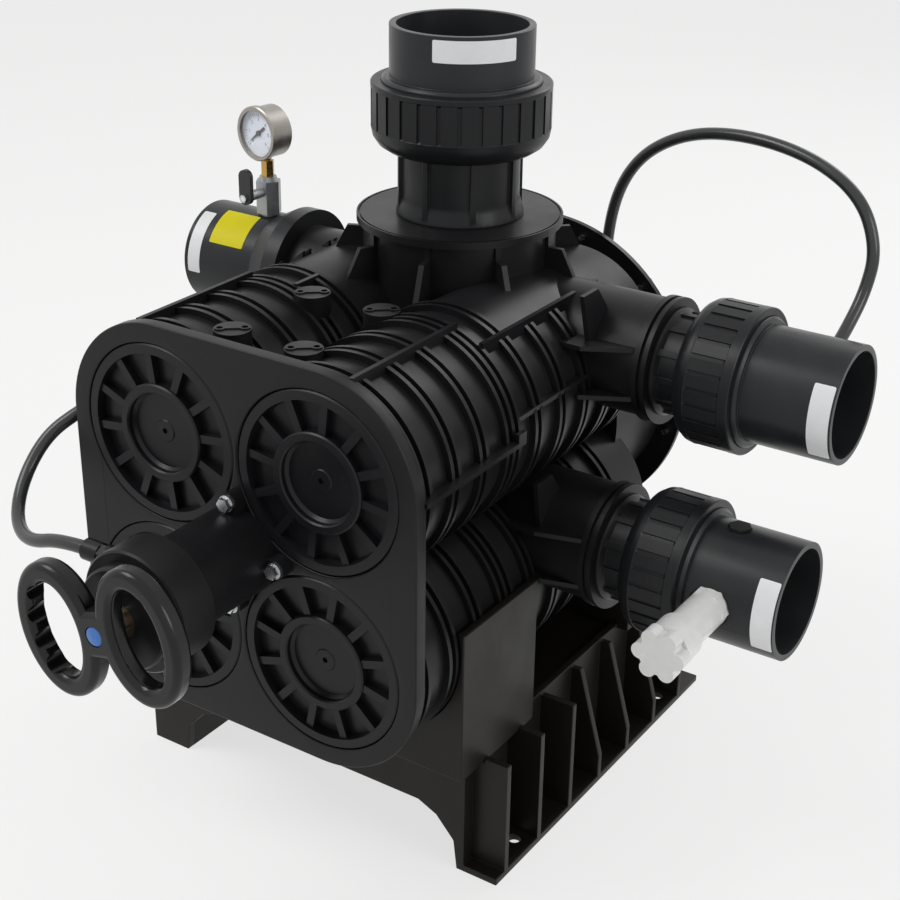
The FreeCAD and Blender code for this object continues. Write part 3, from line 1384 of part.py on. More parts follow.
def gauge_valve():
    """A small ball valve on the inlet, with a lever on its front."""
    at = (-D.gauge_place, PORT_Y, COCK_Z)
    bore = D.cock_bore
    middle = COCK_Z + D.ball_height
    room = D.ball_radius + D.ball_play
    top = D.cock_height
    body = [
        cylinder(D.stem_radius, D.cock_shank, at, "-Z"),
        cylinder(D.cock_flange, D.cock_flange_height, at),
        hex_prism(D.cock_hex, top - D.cock_flange_height, offset_along(at, "Z", D.cock_flange_height))]
    voids = [
        cylinder(bore, D.ball_height + D.cock_shank, offset_along(at, "Z", -D.cock_shank)),
        cylinder(D.ball_room, top - D.ball_height + room, offset_along(at, "Z", D.ball_height - room))]
    gland = cylinder(D.gland_radius, D.gland_reach - D.ball_room - D.gap,
                     (-D.gauge_place, PORT_Y - D.ball_room - D.gap, middle), "-Y")
    hole = cylinder(D.spindle_radius + D.rod_play, D.gland_reach, (-D.gauge_place, PORT_Y, middle), "-Y")
    node("gauge_valve_body", cut(fuse(body + [gland]), voids + [hole]))
    low = D.ball_height + room
    end = turned("gauge_valve_end", [
        (bore, low), (D.ball_room - D.gap, low), (D.ball_room - D.gap, top),
        (D.cock_end_hex - D.cap_round, top),
        (D.cock_end_hex - D.cap_round * 2, top + D.cock_end_height),
        (D.gauge_shank + D.gap, top + D.cock_end_height),
        (D.gauge_shank + D.gap, top + D.cock_end_height - D.gauge_shank_depth - D.gap),
        (bore, top + D.cock_end_height - D.gauge_shank_depth - D.gap)])
    node("gauge_valve_end", place(end, at))
    reach = D.gland_reach + D.gap + D.lever_thick
    ball = doc.addObject("Part::Sphere", "Ball")
    place(bind(ball, Radius=D.ball_radius), (-D.gauge_place, PORT_Y, middle))
    spindle = cylinder(D.spindle_radius, reach + D.lever_nut_height, (-D.gauge_place, PORT_Y, middle), "-Y")
    way = cylinder(bore, D.ball_radius * 2, (-D.gauge_place, PORT_Y, middle - D.ball_radius))
    node("gauge_valve_ball", cut(fuse([ball, spindle]), [way]))
    start = PORT_Y - D.gland_reach - D.gap
    half = D.lever_width / 2
    low, high = start - D.lever_thick, start
    tip = middle + D.lever_length - D.lever_width
    arm = fuse([
        cylinder(half, D.lever_thick, (-D.gauge_place, start, middle), "-Y"),
        box((-D.gauge_place - half, low, middle), (-D.gauge_place + half, high, tip)),
        cylinder(half, D.lever_thick, (-D.gauge_place, start, tip), "-Y")])
    hole = cylinder(D.spindle_radius + D.seal_play, D.lever_thick, (-D.gauge_place, start, middle), "-Y")
    node("gauge_valve_lever", cut(arm, [hole]))
    nut = hex_prism(D.lever_nut, D.lever_nut_height, (-D.gauge_place, low, middle), "-Y")
    hole = cylinder(D.spindle_radius + D.seal_play, D.lever_nut_height, (-D.gauge_place, low, middle), "-Y")
    node("gauge_valve_nut", cut(nut, [hole]))


def gauge():
    """A dial gauge on the valve: case, ring, glass, dial, needle and brass stem."""
    centre = (-D.gauge_place, PORT_Y, GAUGE_Z)
    case = D.gauge_case
    back = -D.gauge_back
    level = D.gauge_dial_level
    rim = D.gauge_case_level
    floor = back + D.gauge_wall
    body = turned("gauge_case", [
        (0, back), (case - D.cap_round, back), (case, back + D.cap_round), (case, rim),
        (case - D.gauge_wall, rim), (case - D.gauge_wall, level), (case - D.gauge_ledge, level),
        (case - D.gauge_ledge, floor), (0, floor)])
    place(body, centre, GAUGE_TURN)
    base = COCK_Z + D.cock_height + D.cock_end_height
    hex_top = base + D.gauge_hex_height
    hole = cylinder(D.gauge_shank + D.gap, case, (-D.gauge_place, PORT_Y, GAUGE_Z - D.gauge_hole_drop))
    node("gauge_case", cut(body, [hole]))
    block_low = GAUGE_Z - D.gauge_block / 2
    block = box((-D.gauge_block / 2, -D.gauge_block / 2, -D.gauge_block_thick / 2),
                (D.gauge_block / 2, D.gauge_block / 2, D.gauge_block_thick / 2))
    block = place(fuse([block, cylinder(D.gauge_ledge, level + D.gauge_block_thick / 2,
                                        (0, 0, -D.gauge_block_thick / 2))]), centre, GAUGE_TURN)
    stem = fuse([
        hex_prism(D.gauge_hex, D.gauge_hex_height, (-D.gauge_place, PORT_Y, base)),
        cylinder(D.gauge_shank, block_low + D.cap_round - base + D.gauge_shank_depth,
                 (-D.gauge_place, PORT_Y, base - D.gauge_shank_depth)),
        block])
    bush = place(cylinder(D.needle_spindle + D.rod_play, case, (0, 0, 0)), centre, GAUGE_TURN)
    node("gauge_stem", cut(stem, [bush]))
    dial = turned("gauge_dial", [
        (D.needle_hub, level), (case - D.gauge_wall - D.gap, level),
        (case - D.gauge_wall - D.gap, level + D.gauge_dial_thick),
        (D.needle_hub, level + D.gauge_dial_thick)])
    node("gauge_dial", place(dial, centre, GAUGE_TURN))
    hub = level + D.gauge_dial_thick + D.gap
    needle = turned("gauge_needle", [
        (0, D.gap), (D.needle_spindle, D.gap), (D.needle_spindle, hub), (D.needle_hub, hub),
        (D.needle_hub, hub + D.needle_hub_height), (0, hub + D.needle_hub_height)])
    turn = math.radians(D.needle_turn.value)
    points = []
    for along, side in ((D.needle_length, 0), (D.needle_hub, 1), (-D.needle_tail, 1),
                        (-D.needle_tail, -1), (D.needle_hub, -1)):
        across = D.needle_width / 2 * side
        points.append((along * math.cos(turn) - across * math.sin(turn),
                       along * math.sin(turn) + across * math.cos(turn)))
    sketch = outline(needle, "needle_outline", points, "XY_Plane")
    sketch.setExpression("AttachmentOffset.Base.z", (hub + D.gap).text)
    pad = needle.newObject("PartDesign::Pad", "needle_blade")
    pad.Profile = sketch
    bind(pad, Length=D.needle_thick)
    doc.recompute()
    node("gauge_needle", place(needle, centre, GAUGE_TURN))
    lens = turned("gauge_lens", [
        (0, rim), (case, rim), (case, rim + D.gauge_lens_thick), (0, rim + D.gauge_lens_thick)])
    node("gauge_lens", place(lens, centre, GAUGE_TURN))
    front = D.gauge_front
    ring = turned("gauge_ring", [
        (D.gauge_ring_inner, rim + D.gauge_lens_thick), (case + D.gap, rim + D.gauge_lens_thick),
        (case + D.gap, front - D.gauge_ring_depth), (D.gauge_radius, front - D.gauge_ring_depth),
        (D.gauge_radius, front - D.cap_round), (D.gauge_radius - D.cap_round, front),
        (D.gauge_ring_inner, front)])
    node("gauge_ring", place(ring, centre, GAUGE_TURN))


# ---------------------------------------------------------------- sampling tap and plug

def sampling_tap():
    """A tap on the outlet: body with a spout, spindle and a knob with six lobes."""
    front = LOW_Y - D.side_socket_outer + D.tap_seat_depth
    x = TAP_X

    def along(reach):
        return x, front - reach, LOW_Z

    spout_at = (x, front - D.tap_spout_place, LOW_Z)
    body = fuse([
        cylinder(D.tap_shank, D.cock_shank, along(-D.cock_shank), "-Y"),
        hex_prism(D.tap_hex, D.tap_hex_height, along(0), "-Y"),
        cylinder(D.tap_tube, D.tap_length, along(0), "-Y"),
        cylinder(D.tap_bonnet, D.tap_bonnet_height, along(D.tap_length - D.tap_bonnet_height), "-Y"),
        cylinder(D.tap_spout, D.tap_spout_length, spout_at, "-Z")])
    stem = D.tap_stem
    node("tap_body", cut(body, [
        cylinder(D.tap_bore, D.tap_seat + D.cock_shank, along(-D.cock_shank), "-Y"),
        cylinder(stem + D.rod_play, D.tap_length - D.tap_seat, along(D.tap_seat), "-Y"),
        cylinder(D.tap_spout_bore, D.tap_spout_length, spout_at, "-Z")]))
    tip = D.tap_length + D.gap + D.knob_thick
    start = D.tap_seat + D.gap
    node("tap_spindle", cylinder(stem, tip - start - D.cap_round, along(start), "-Y"))
    lobes = [cylinder(D.knob_core, D.knob_thick, along(D.tap_length + D.gap), "-Y")]
    for number in range(int(D.knob_lobes.value)):
        angle = 2 * math.pi * number / D.knob_lobes.value
        place_x = x + D.knob_circle * math.cos(angle)
        place_z = LOW_Z + D.knob_circle * math.sin(angle)
        at = (place_x, front - D.tap_length - D.gap, place_z)
        lobes.append(cylinder(D.knob_lobe, D.knob_thick, at, "-Y"))
    hole = cylinder(stem + D.seal_play, D.knob_thick - D.cap_round, along(D.tap_length + D.gap), "-Y")
    node("tap_knob", cut(fuse(lobes), [hole]))
    node("tail_plug", hex_bolt(D.plug_shank, D.plug_head, D.plug_head_height, D.cock_shank,
                               (x, LOW_Y, LOW_Z + D.side_socket_outer - D.spot_depth), "Z"))


# ---------------------------------------------------------------- hoses and fittings

def fitting(at, axis):
    """A straight push-in fitting; returns it and where the hose's end rests."""
    seat = offset_along(at, axis, D.fitting_seat)
    body = fuse([
        cylinder(D.nipple_radius, D.fitting_shank, at, OPPOSITE[axis]),
        hex_prism(D.fitting_hex, D.fitting_hex_height, at, axis),
        cylinder(D.fitting_sleeve, D.fitting_length - D.fitting_hex_height,
                 offset_along(at, axis, D.fitting_hex_height), axis)])
    low = offset_along(at, axis, -D.fitting_shank)
    return cut(body, [
        cylinder(D.fitting_channel, D.fitting_length + D.fitting_shank, low, axis),
        cylinder(D.hose_radius + D.gap, D.fitting_length, seat, axis)]), seat


def elbow(at, axis, out):
    """A push-in fitting with a right-angle turn; returns it and where the hose's end rests."""
    centre = offset_along(at, axis, D.elbow_reach)
    seat = offset_along(centre, out, D.elbow_seat)
    body = fuse([
        cylinder(D.nipple_radius, D.fitting_shank, at, OPPOSITE[axis]),
        hex_prism(D.fitting_hex, D.fitting_hex_height, at, axis),
        cylinder(D.elbow_seat, D.elbow_reach, at, axis),
        cylinder(D.fitting_sleeve, D.elbow_end + D.fitting_sleeve,
                 offset_along(centre, out, -D.fitting_sleeve), out)])
    low = offset_along(at, axis, -D.fitting_shank)
    return cut(body, [
        cylinder(D.fitting_channel, D.elbow_reach + D.fitting_shank, low, axis),
        cylinder(D.fitting_channel, D.elbow_seat, centre, out),
        cylinder(D.hose_radius + D.gap, D.elbow_end, seat, out)]), seat


def hose(name, corners):
    """A round hose of straight runs joined by tangent arcs."""
    points = [Vector(*[float(size(v)) for v in corner_at]) for corner_at in corners]
    edges = []
    here = points[0]
    radii = []
    runs = [(b - a).Length for a, b in zip(points, points[1:])]
    for before, at, after in zip(points, points[1:], points[2:]):
        into = (at - before).normalize()
        out = (after - at).normalize()
        shorter = min((at - before).Length, (after - at).Length)
        step = SHARE * shorter
        start = at - into * step
        finish = at + out * step
        half = into.getAngle(out) / 2
        radii.append(step / math.tan(half))
        bend = (into * -1 + out).normalize()
        middle = at + bend * (radii[-1] / math.cos(half) - radii[-1])
        edges.append(Part.LineSegment(here, start).toShape())
        edges.append(Part.Arc(start, middle, finish).toShape())
        here = finish
    edges.append(Part.LineSegment(here, points[-1]).toShape())
    route = Part.Wire(edges)
    ring = Part.Wire(Part.makeCircle(float(D.hose_radius), points[0], points[1] - points[0]))
    solid = route.makePipeShell([ring], True, False)
    print(name, "radii", [round(r, 1) for r in radii], "runs", [round(r, 1) for r in runs])
    tube = route.Length * math.pi * float(D.hose_radius) ** 2
    print(name, "volume", round(solid.Volume), "by length", round(tube))
    node(name, feature(solid))


SHARE = 0.45    # of the shorter run that an arc takes from each side of its corner


def hoses():
    upper = D.axis_height + D.pitch_z / 2
    left_start, left_seat = fitting(
        (-D.collar_radius - D.spot_height, station(-D.fitting_depth), D.axis_height + D.fitting_rise), "-X")
    left_end, left_rest = elbow(
        (-BARREL_SPOT, station(D.barrel_fitting_depth), upper - D.barrel_fitting_drop), "-X", "-Y")
    x, z = rear_fitting_place()
    right_start, right_seat = elbow((x, DRUM_END + D.rear_depth, z), "Y", "Z")
    right_end, right_rest = fitting(
        (DRAIN_X, PORT_Y + D.side_socket_outer + D.spot_height, SIDE_Z), "Y")
    group("hose_fittings", [left_start, left_end, right_start, right_end])
    hose("left_hose", [
        left_seat, (-126, -461, 402), (-183, -456, 379), (-228, -429, 380), (-253, -392, 404),
        (-251, -357, 440), (-231, -327, 462), offset_along(left_rest, "-Y", 30), left_rest])
    hose("right_hose", [
        right_seat, offset_along(right_seat, "Z", 60), (80, 293, 642), (145, 283, 686), (228, 267, 702),
        (318, 251, 694), (381, 240, 663), (407, 232, 612), (404, 222, 566), (399, 189, 530),
        offset_along(right_rest, "Y", 36), right_rest])


# ---------------------------------------------------------------- build and write

front_plate()
for cover_name, (cover_side, cover_level) in CORNERS.items():
    cover(f"cover_{cover_name}", cover_side, cover_level)
cover_seals()
valve_body()
rear_cover()
stand()
saddle("front_saddle", -1)
saddle("rear_saddle", 1)
operator()
handle()
spool_train()
ports()
gauge_valve()
gauge()
sampling_tap()
hoses()

doc.recompute()
for obj in doc.Objects:
    if "Invalid" in obj.State or "Error" in obj.State:
        raise RuntimeError(f"{obj.Label} did not compute: {obj.State}")
os.makedirs("parts", exist_ok=True)
for name, obj in NODES.items():
    if obj.Shape.isNull() or not obj.Shape.isValid():
        raise RuntimeError(f"{name} has no valid shape")
for name, obj in NODES.items():
    obj.Shape.exportStep(f"parts/{name}.step")
print(len(NODES), "pieces written")
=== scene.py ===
# %% [markdown]
# # Push-pull filter valve
#
# The real object is a heavy moulded valve: four black barrels side by side, a front plate with
# four ribbed covers, a pull handle with two finger rings, thick pipe unions, a small pressure gauge,
# a white sampling tap and two hoses, all on a ribbed stand.  The solid pieces come from the CAD
# model and stay where they are.  This file gives them their finishes, rounds their edges, adds what
# a moulding has and a plain solid has not, and sets up the light and the camera.

# %% Load the frame
import math
import bpy
import bmesh
from mathutils import Matrix, Vector


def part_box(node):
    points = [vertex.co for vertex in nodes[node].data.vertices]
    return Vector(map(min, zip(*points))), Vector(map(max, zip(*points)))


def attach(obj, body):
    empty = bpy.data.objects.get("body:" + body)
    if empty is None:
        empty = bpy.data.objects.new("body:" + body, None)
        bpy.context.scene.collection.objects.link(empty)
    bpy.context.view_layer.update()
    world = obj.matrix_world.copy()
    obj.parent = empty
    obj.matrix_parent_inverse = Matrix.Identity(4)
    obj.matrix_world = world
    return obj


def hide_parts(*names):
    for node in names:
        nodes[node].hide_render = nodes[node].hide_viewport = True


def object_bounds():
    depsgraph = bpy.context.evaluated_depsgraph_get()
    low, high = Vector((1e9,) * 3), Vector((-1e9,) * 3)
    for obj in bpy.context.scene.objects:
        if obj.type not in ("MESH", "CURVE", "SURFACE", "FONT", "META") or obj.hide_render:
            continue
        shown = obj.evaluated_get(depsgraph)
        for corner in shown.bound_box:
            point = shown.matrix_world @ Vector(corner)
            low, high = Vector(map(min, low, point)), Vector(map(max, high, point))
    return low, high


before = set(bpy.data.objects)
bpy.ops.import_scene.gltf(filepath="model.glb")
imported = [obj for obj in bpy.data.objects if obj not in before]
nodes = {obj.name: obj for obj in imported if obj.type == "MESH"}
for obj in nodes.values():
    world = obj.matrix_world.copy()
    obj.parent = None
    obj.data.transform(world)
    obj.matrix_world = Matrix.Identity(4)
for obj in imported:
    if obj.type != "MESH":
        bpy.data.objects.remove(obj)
cad_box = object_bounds()
MM = 0.001
print(len(nodes), "pieces loaded")

# %% [markdown]
# ## Camera
#
# The camera stands in front and to the right, a little above, and looks down at the valve.  Its
# place, turn and lens are written out as numbers, because nothing on the model gives them.

# %% Camera
CAMERA_AT = Vector((0.9661, -1.4432, 1.1779))
TURN, TILT, ROLL = (math.radians(angle) for angle in (33.31, -25.40, 0.80))
LENS = 66.81
ahead = Vector((-math.sin(TURN) * math.cos(TILT), math.cos(TURN) * math.cos(TILT), math.sin(TILT)))
across = ahead.cross(Vector((0, 0, 1))).normalized()
upward = across.cross(ahead)
across, upward = (across * math.cos(ROLL) + upward * math.sin(ROLL),
                  upward * math.cos(ROLL) - across * math.sin(ROLL))
camera = bpy.data.objects.new("camera", bpy.data.cameras.new("camera"))
camera.data.lens = LENS
camera.data.sensor_width = 36
camera.matrix_world = Matrix((
    (across.x, upward.x, -ahead.x, CAMERA_AT.x),
    (across.y, upward.y, -ahead.y, CAMERA_AT.y),
    (across.z, upward.z, -ahead.z, CAMERA_AT.z),
    (0, 0, 0, 1)))
bpy.context.scene.collection.objects.link(camera)
bpy.context.scene.camera = camera

# %% [markdown]
# ## Colour
#
# Colours are written as they look on screen, as sRGB hex values.  Blender's shaders work in linear
# light, so one function turns the first into the second.

# %% Colour helper


def linear(code):
    """An sRGB hex colour as linear red, green, blue and full alpha."""
    channels = [int(code[i:i + 2], 16) / 255 for i in (0, 2, 4)]
    return tuple(c / 12.92 if c <= 0.04045 else ((c + 0.055) / 1.055) ** 2.4 for c in channels) + (1.0,)


# %% [markdown]
# ## Materials
#
# Every finish is a small node tree.  One function adds a node, sets what is fixed and links what
# varies.  A value that is the same all over the surface is set on the shader's own socket.

# %% Node helper


def add(tree, kind, inputs=None, **settings):
    """Add a node with its settings, its fixed inputs and its links."""
    made = tree.nodes.new(kind)
    for name, value in settings.items():
        setattr(made, name, value)
    for name, value in (inputs or {}).items():
        if isinstance(value, bpy.types.NodeSocket):
            tree.links.new(value, made.inputs[name])
        else:
            made.inputs[name].default_value = value
    return made


def new_material(name):
    """An empty material with an output node; returns both and its tree."""
    made = bpy.data.materials.new(name)
    made.use_nodes = True
    tree = made.node_tree
    tree.nodes.clear()
    output = add(tree, "ShaderNodeOutputMaterial")
    return made, tree, output


# %% [markdown]
# ### Moulded plastic
#
# The body, plate, covers, stand and unions are injection-moulded polypropylene and ABS, coloured
# black.  The mould gives them a fine spark-eroded grain, so the gloss is soft.  Melt that cools
# at different speeds leaves broad cloudy patches, and handling leaves faint paler scuffs.  Three
# noise textures carry this: patches of about 60 mm, scuffs of about 9 mm and grain of about 1 mm.
# The real grain is finer than the picture can show, so it is drawn a little coarse.  The pits that are too
# small to draw swallow part of the mirrored light, so the plastics reflect less than polished ones.

# %% Moulded plastic
CLOUD, SCUFF = 60 * MM, 9 * MM
SHEEN = 0.22


def moulded(name, colour, pale, roughness, grain=1.1, depth=0.12, scuff=0.25):
    """Plastic with cloudy patches, faint scuffs and a fine grain; lengths in mm."""
    made, tree, output = new_material(name)
    place = add(tree, "ShaderNodeTexCoord").outputs["Object"]
    cloud = add(tree, "ShaderNodeTexNoise", {"Vector": place, "Scale": 1 / CLOUD, "Detail": 3.0})
    marks = add(tree, "ShaderNodeTexNoise",
                {"Vector": place, "Scale": 1 / SCUFF, "Detail": 6.0, "Roughness": 0.7, "Distortion": 1.5})
    fine = add(tree, "ShaderNodeTexNoise", {"Vector": place, "Scale": 1 / (grain * MM), "Detail": 2.0})
    spread = add(tree, "ShaderNodeMapRange", {
        "Value": marks.outputs["Fac"], "From Min": 0.5, "From Max": 0.8, "To Min": 0.0, "To Max": scuff})
    mixed = add(tree, "ShaderNodeMath",
                {0: spread.outputs["Result"], 1: cloud.outputs["Fac"]}, operation="MULTIPLY")
    tint = add(tree, "ShaderNodeMixRGB", {
        "Fac": mixed.outputs["Value"], "Color1": linear(colour), "Color2": linear(pale)})
    gloss = add(tree, "ShaderNodeMapRange", {
        "Value": cloud.outputs["Fac"], "From Min": 0.3, "From Max": 0.7,
        "To Min": roughness - 0.05, "To Max": roughness + 0.07})
    bump = add(tree, "ShaderNodeBump", {
        "Height": fine.outputs["Fac"], "Strength": depth, "Distance": 0.3 * MM})
    shader = add(tree, "ShaderNodeBsdfPrincipled", {
        "Base Color": tint.outputs["Color"], "Roughness": gloss.outputs["Result"],
        "Normal": bump.outputs["Normal"], "IOR": 1.49, "Specular IOR Level": SHEEN})
    tree.links.new(shader.outputs["BSDF"], output.inputs["Surface"])
    return made


body_black = moulded("moulded_polypropylene", "161618", "343436", 0.36)
cover_black = moulded("moulded_abs_cover", "17171a", "343435", 0.33)
# The stand's black and its paler scuffs lean to warm brown; that tint is a painted reflection of a brown
# floor.
stand_black = moulded("moulded_polypropylene_stand", "181512", "3a342e", 0.42, grain=1.4, depth=0.2)
union_black = moulded("moulded_abs_union", "1a1b1d", "363638", 0.34)
print("moulded plastics made")


# %% [markdown]
# ### Turned and extruded plastic
#
# The pipe tails are turned on a lathe after moulding, and the rod is ground steel.  A tool leaves
# fine rings round the axis.  A wave texture in bands along that axis draws them.  The wave repeats
# 10 / pi times in each unit at a scale of 1, so the scale comes from the real pitch, and a Mapping node
# starts the pattern at the middle of the piece.

# %% Turned surface


def turned_surface(name, colour, pale, axis, centre, roughness, pitch=1.8, depth=0.1, metal=0.0):
    """A lathe-turned surface: faint rings along an axis, with cloudy patches; lengths in mm."""
    made, tree, output = new_material(name)
    place = add(tree, "ShaderNodeTexCoord").outputs["Object"]
    moved = add(tree, "ShaderNodeMapping",
                {"Vector": place, "Location": [-c for c in centre]}, vector_type="POINT")
    cloud = add(tree, "ShaderNodeTexNoise",
                {"Vector": moved.outputs["Vector"], "Scale": 1 / (45 * MM), "Detail": 4.0})
    rings = add(tree, "ShaderNodeTexWave",
                {"Vector": moved.outputs["Vector"], "Scale": math.pi / (10 * pitch * MM),
                 "Distortion": 1.2, "Detail": 2.0, "Detail Scale": 0.3},
                wave_type="BANDS", bands_direction=axis)
    tint = add(tree, "ShaderNodeMixRGB", {
        "Fac": cloud.outputs["Fac"], "Color1": linear(colour), "Color2": linear(pale)})
    gloss = add(tree, "ShaderNodeMapRange", {
        "Value": cloud.outputs["Fac"], "From Min": 0.3, "From Max": 0.7,
        "To Min": roughness - 0.05, "To Max": roughness + 0.06})
    bump = add(tree, "ShaderNodeBump", {
        "Height": rings.outputs["Fac"], "Strength": depth, "Distance": 0.1 * MM})
    values = {"Base Color": tint.outputs["Color"], "Roughness": gloss.outputs["Result"],
              "Normal": bump.outputs["Normal"]}
    if metal:
        values["Metallic"] = metal
    else:
        values["Specular IOR Level"] = SHEEN
    shader = add(tree, "ShaderNodeBsdfPrincipled", values)
    tree.links.new(shader.outputs["BSDF"], output.inputs["Surface"])
    return made


def middle(name):
    """The middle of a CAD node's box."""
    low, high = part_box(name)
    return [(a + b) / 2 for a, b in zip(low, high)]


pipe_upright = turned_surface("turned_pvc_upright", "212225", "323336", "Z", middle("upper_port_tail"), 0.32)
pipe_level = turned_surface("turned_pvc_level", "1f2022", "303133", "X", middle("drain_tail"), 0.32)
rod_steel = turned_surface(
    "ground_stainless_rod", "a9adb0", "c3c6c8", "Y", middle("pull_rod"), 0.22, metal=1.0)
print("turned surfaces made")

# %% [markdown]
# ### Metals, rubber, clear and white plastics
#
# The small fittings are chromed, zinc-plated and plain brass and stainless steel.  Seals are black EPDM
# rubber, the hoses polyurethane, the sampling tap glossy white PVC.  The cap on the handle is a plain
# blue enamel badge with nothing printed on it.  They differ in colour,
# roughness and how metallic they are, and share one shape of tree: a noise that makes the roughness
# and the colour a little uneven, as use and handling do.

# %% Simple finishes


def simple(name, colour, pale, roughness, patch, metal=0.0, spread=0.06, **fixed):
    """A plain finish whose colour and gloss vary over patches of a given size in mm."""
    made, tree, output = new_material(name)
    place = add(tree, "ShaderNodeTexCoord").outputs["Object"]
    cloud = add(tree, "ShaderNodeTexNoise", {"Vector": place, "Scale": 1 / (patch * MM), "Detail": 5.0})
    tint = add(tree, "ShaderNodeMixRGB", {
        "Fac": cloud.outputs["Fac"], "Color1": linear(colour), "Color2": linear(pale)})
    gloss = add(tree, "ShaderNodeMapRange", {
        "Value": cloud.outputs["Fac"], "From Min": 0.3, "From Max": 0.7,
        "To Min": max(0.02, roughness - spread), "To Max": roughness + spread})
    values = {"Base Color": tint.outputs["Color"], "Roughness": gloss.outputs["Result"]}
    if metal:
        values["Metallic"] = metal
    values.update({key.replace("_", " "): value for key, value in fixed.items()})
    shader = add(tree, "ShaderNodeBsdfPrincipled", values)
    tree.links.new(shader.outputs["BSDF"], output.inputs["Surface"])
    return made


handle_black = simple("polished_abs_handle", "0f0f0f", "191918", 0.22, 30, Specular_IOR_Level=0.3)
rubber = simple("epdm_rubber", "121212", "1c1c1c", 0.6, 8)
hose_black = simple("polyurethane_hose", "2c2d2e", "3b3c3d", 0.24, 25, Specular_IOR_Level=0.4)
steel = simple("stainless_steel", "b4b7ba", "cfd1d3", 0.26, 4, metal=1.0)
chrome = simple("chromed_brass", "d2d4d6", "e2e3e4", 0.12, 6, metal=1.0, spread=0.04)
brass = simple("turned_brass", "b08b4a", "c8a766", 0.28, 4, metal=1.0)
# The rod guide's brass is drawn much darker and duller than the turned brass.
dull_brass = simple("darkened_brass", "4d3f28", "66553a", 0.5, 4, metal=1.0)
badge_blue = simple("blue_enamel_badge", "2a66b8", "3f7fd0", 0.25, 8)
lever_black = simple("dipped_vinyl_lever", "1a1a1b", "262627", 0.45, 5)
tap_white = simple("white_upvc", "dcdcda", "f0f0ee", 0.22, 14)
spool_white = simple("acetal_spool", "cfcfc9", "e0e0da", 0.35, 20)
enamel_white = simple("dial_enamel", "cdd3de", "dadfe8", 0.35, 10)
paint_black = simple("needle_paint", "141414", "1d1d1d", 0.35, 3)
# The steel's warm grey tint is a painted reflection of a brown room.
gauge_steel = simple("satin_steel_case", "8f8b86", "a9a49d", 0.36, 10, metal=1.0)
zinc = simple("zinc_plated_brass", "8e9093", "aeb0b2", 0.48, 6, metal=1.0)
print("simple finishes made")

# %% Gauge glass
glass, glass_tree, glass_output = new_material("acrylic_gauge_window")
clear = add(glass_tree, "ShaderNodeBsdfPrincipled", {
    "Base Color": (1.0, 1.0, 1.0, 1.0), "Roughness": 0.03, "IOR": 1.49, "Transmission Weight": 1.0})
through = add(glass_tree, "ShaderNodeBsdfTransparent")
rays = add(glass_tree, "ShaderNodeLightPath")
shared = add(glass_tree, "ShaderNodeMixShader", {"Fac": rays.outputs["Is Shadow Ray"]})
glass_tree.links.new(clear.outputs["BSDF"], shared.inputs[1])
glass_tree.links.new(through.outputs["BSDF"], shared.inputs[2])
glass_tree.links.new(shared.outputs["Shader"], glass_output.inputs["Surface"])

# %% [markdown]
# ## Finishes on the CAD pieces
#
# Each CAD node keeps its mesh and gets its finish in its material slot.  A table by finish is
# shorter than one by node, and every node has to be found in it, so a forgotten one stops the script.

# %% Assign the finishes
ports = ("upper_port", "drain", "outlet")
corners = ("upper_left", "upper_right", "lower_left", "lower_right")
finishes = [
    (body_black, ["front_plate", "valve_body", "rear_cover", "operator_cylinder", "operator_collar",
                  "hose_fittings", "tail_plug"]),
    (cover_black, [f"cover_{corner}" for corner in corners]),
    (stand_black, ["stand", "front_saddle", "rear_saddle"]),
    (union_black, [f"{port}_{part}" for port in ports for part in ("end", "nut")]),
    (pipe_upright, ["upper_port_tail"]),
    (pipe_level, ["drain_tail", "outlet_tail", "inlet_tail", "lower_port_tail"]),
    (handle_black, ["handle"]),
    (badge_blue, ["handle_cap"]),
    (rod_steel, ["pull_rod"]),
    (rubber, ["cover_seals", "rear_seal", "spool_seals"] + [f"{port}_seal" for port in ports]),
    (hose_black, ["left_hose", "right_hose"]),
    (steel, ["rear_bolts", "operator_screws", "crosshead_nuts", "gauge_valve_nut"]),
    (zinc, ["gauge_valve_body", "gauge_valve_end"]),
    (chrome, ["gauge_valve_ball"]),
    (brass, ["gauge_stem"]),
    (dull_brass, ["rod_guide"]),
    (lever_black, ["gauge_valve_lever"]),
    (tap_white, ["tap_body", "tap_knob", "tap_spindle"]),
    (spool_white, ["crosshead"] + [f"spool_{corner}" for corner in corners]),
    (enamel_white, ["gauge_dial"]),
    (paint_black, ["gauge_needle"]),
    (gauge_steel, ["gauge_case", "gauge_ring"]),
    (glass, ["gauge_lens"]),
]
for finish, names in finishes:
    for name in names:
        nodes[name].data.materials.clear()
        nodes[name].data.materials.append(finish)
dressed = {name for finish, names in finishes for name in names}
if dressed != set(nodes):
    raise SystemExit(f"no finish for {set(nodes) ^ dressed}")
print(len(dressed), "nodes have a finish")

# %% [markdown]
# ## Soft edges
#
# A moulding has no sharp edges: the tool's corners are rounded by half a millimetre or more, and those
# roundings catch the light.  On a CAD node a Weld modifier joins its loose triangles and a Bevel
# modifier rounds the edges sharper than 35 degrees.  The mesh itself stays as it is.

# %% Edge helper


def soften(name, width, segments=2, angle=35):
    """Round the sharp edges of a CAD node by a width in mm."""
    piece = nodes[name]
    weld = piece.modifiers.new("Weld", "WELD")
    weld.merge_threshold = 0.01 * MM
    bevel = piece.modifiers.new("Bevel", "BEVEL")
    bevel.width = width * MM
    bevel.segments = segments
    bevel.limit_method = "ANGLE"
    bevel.angle_limit = math.radians(angle)
    bevel.use_clamp_overlap = True
    bevel.harden_normals = False
    for polygon in piece.data.polygons:
        polygon.use_smooth = True
    normal = piece.modifiers.new("Normals", "WEIGHTED_NORMAL")
    normal.keep_sharp = True
    return piece


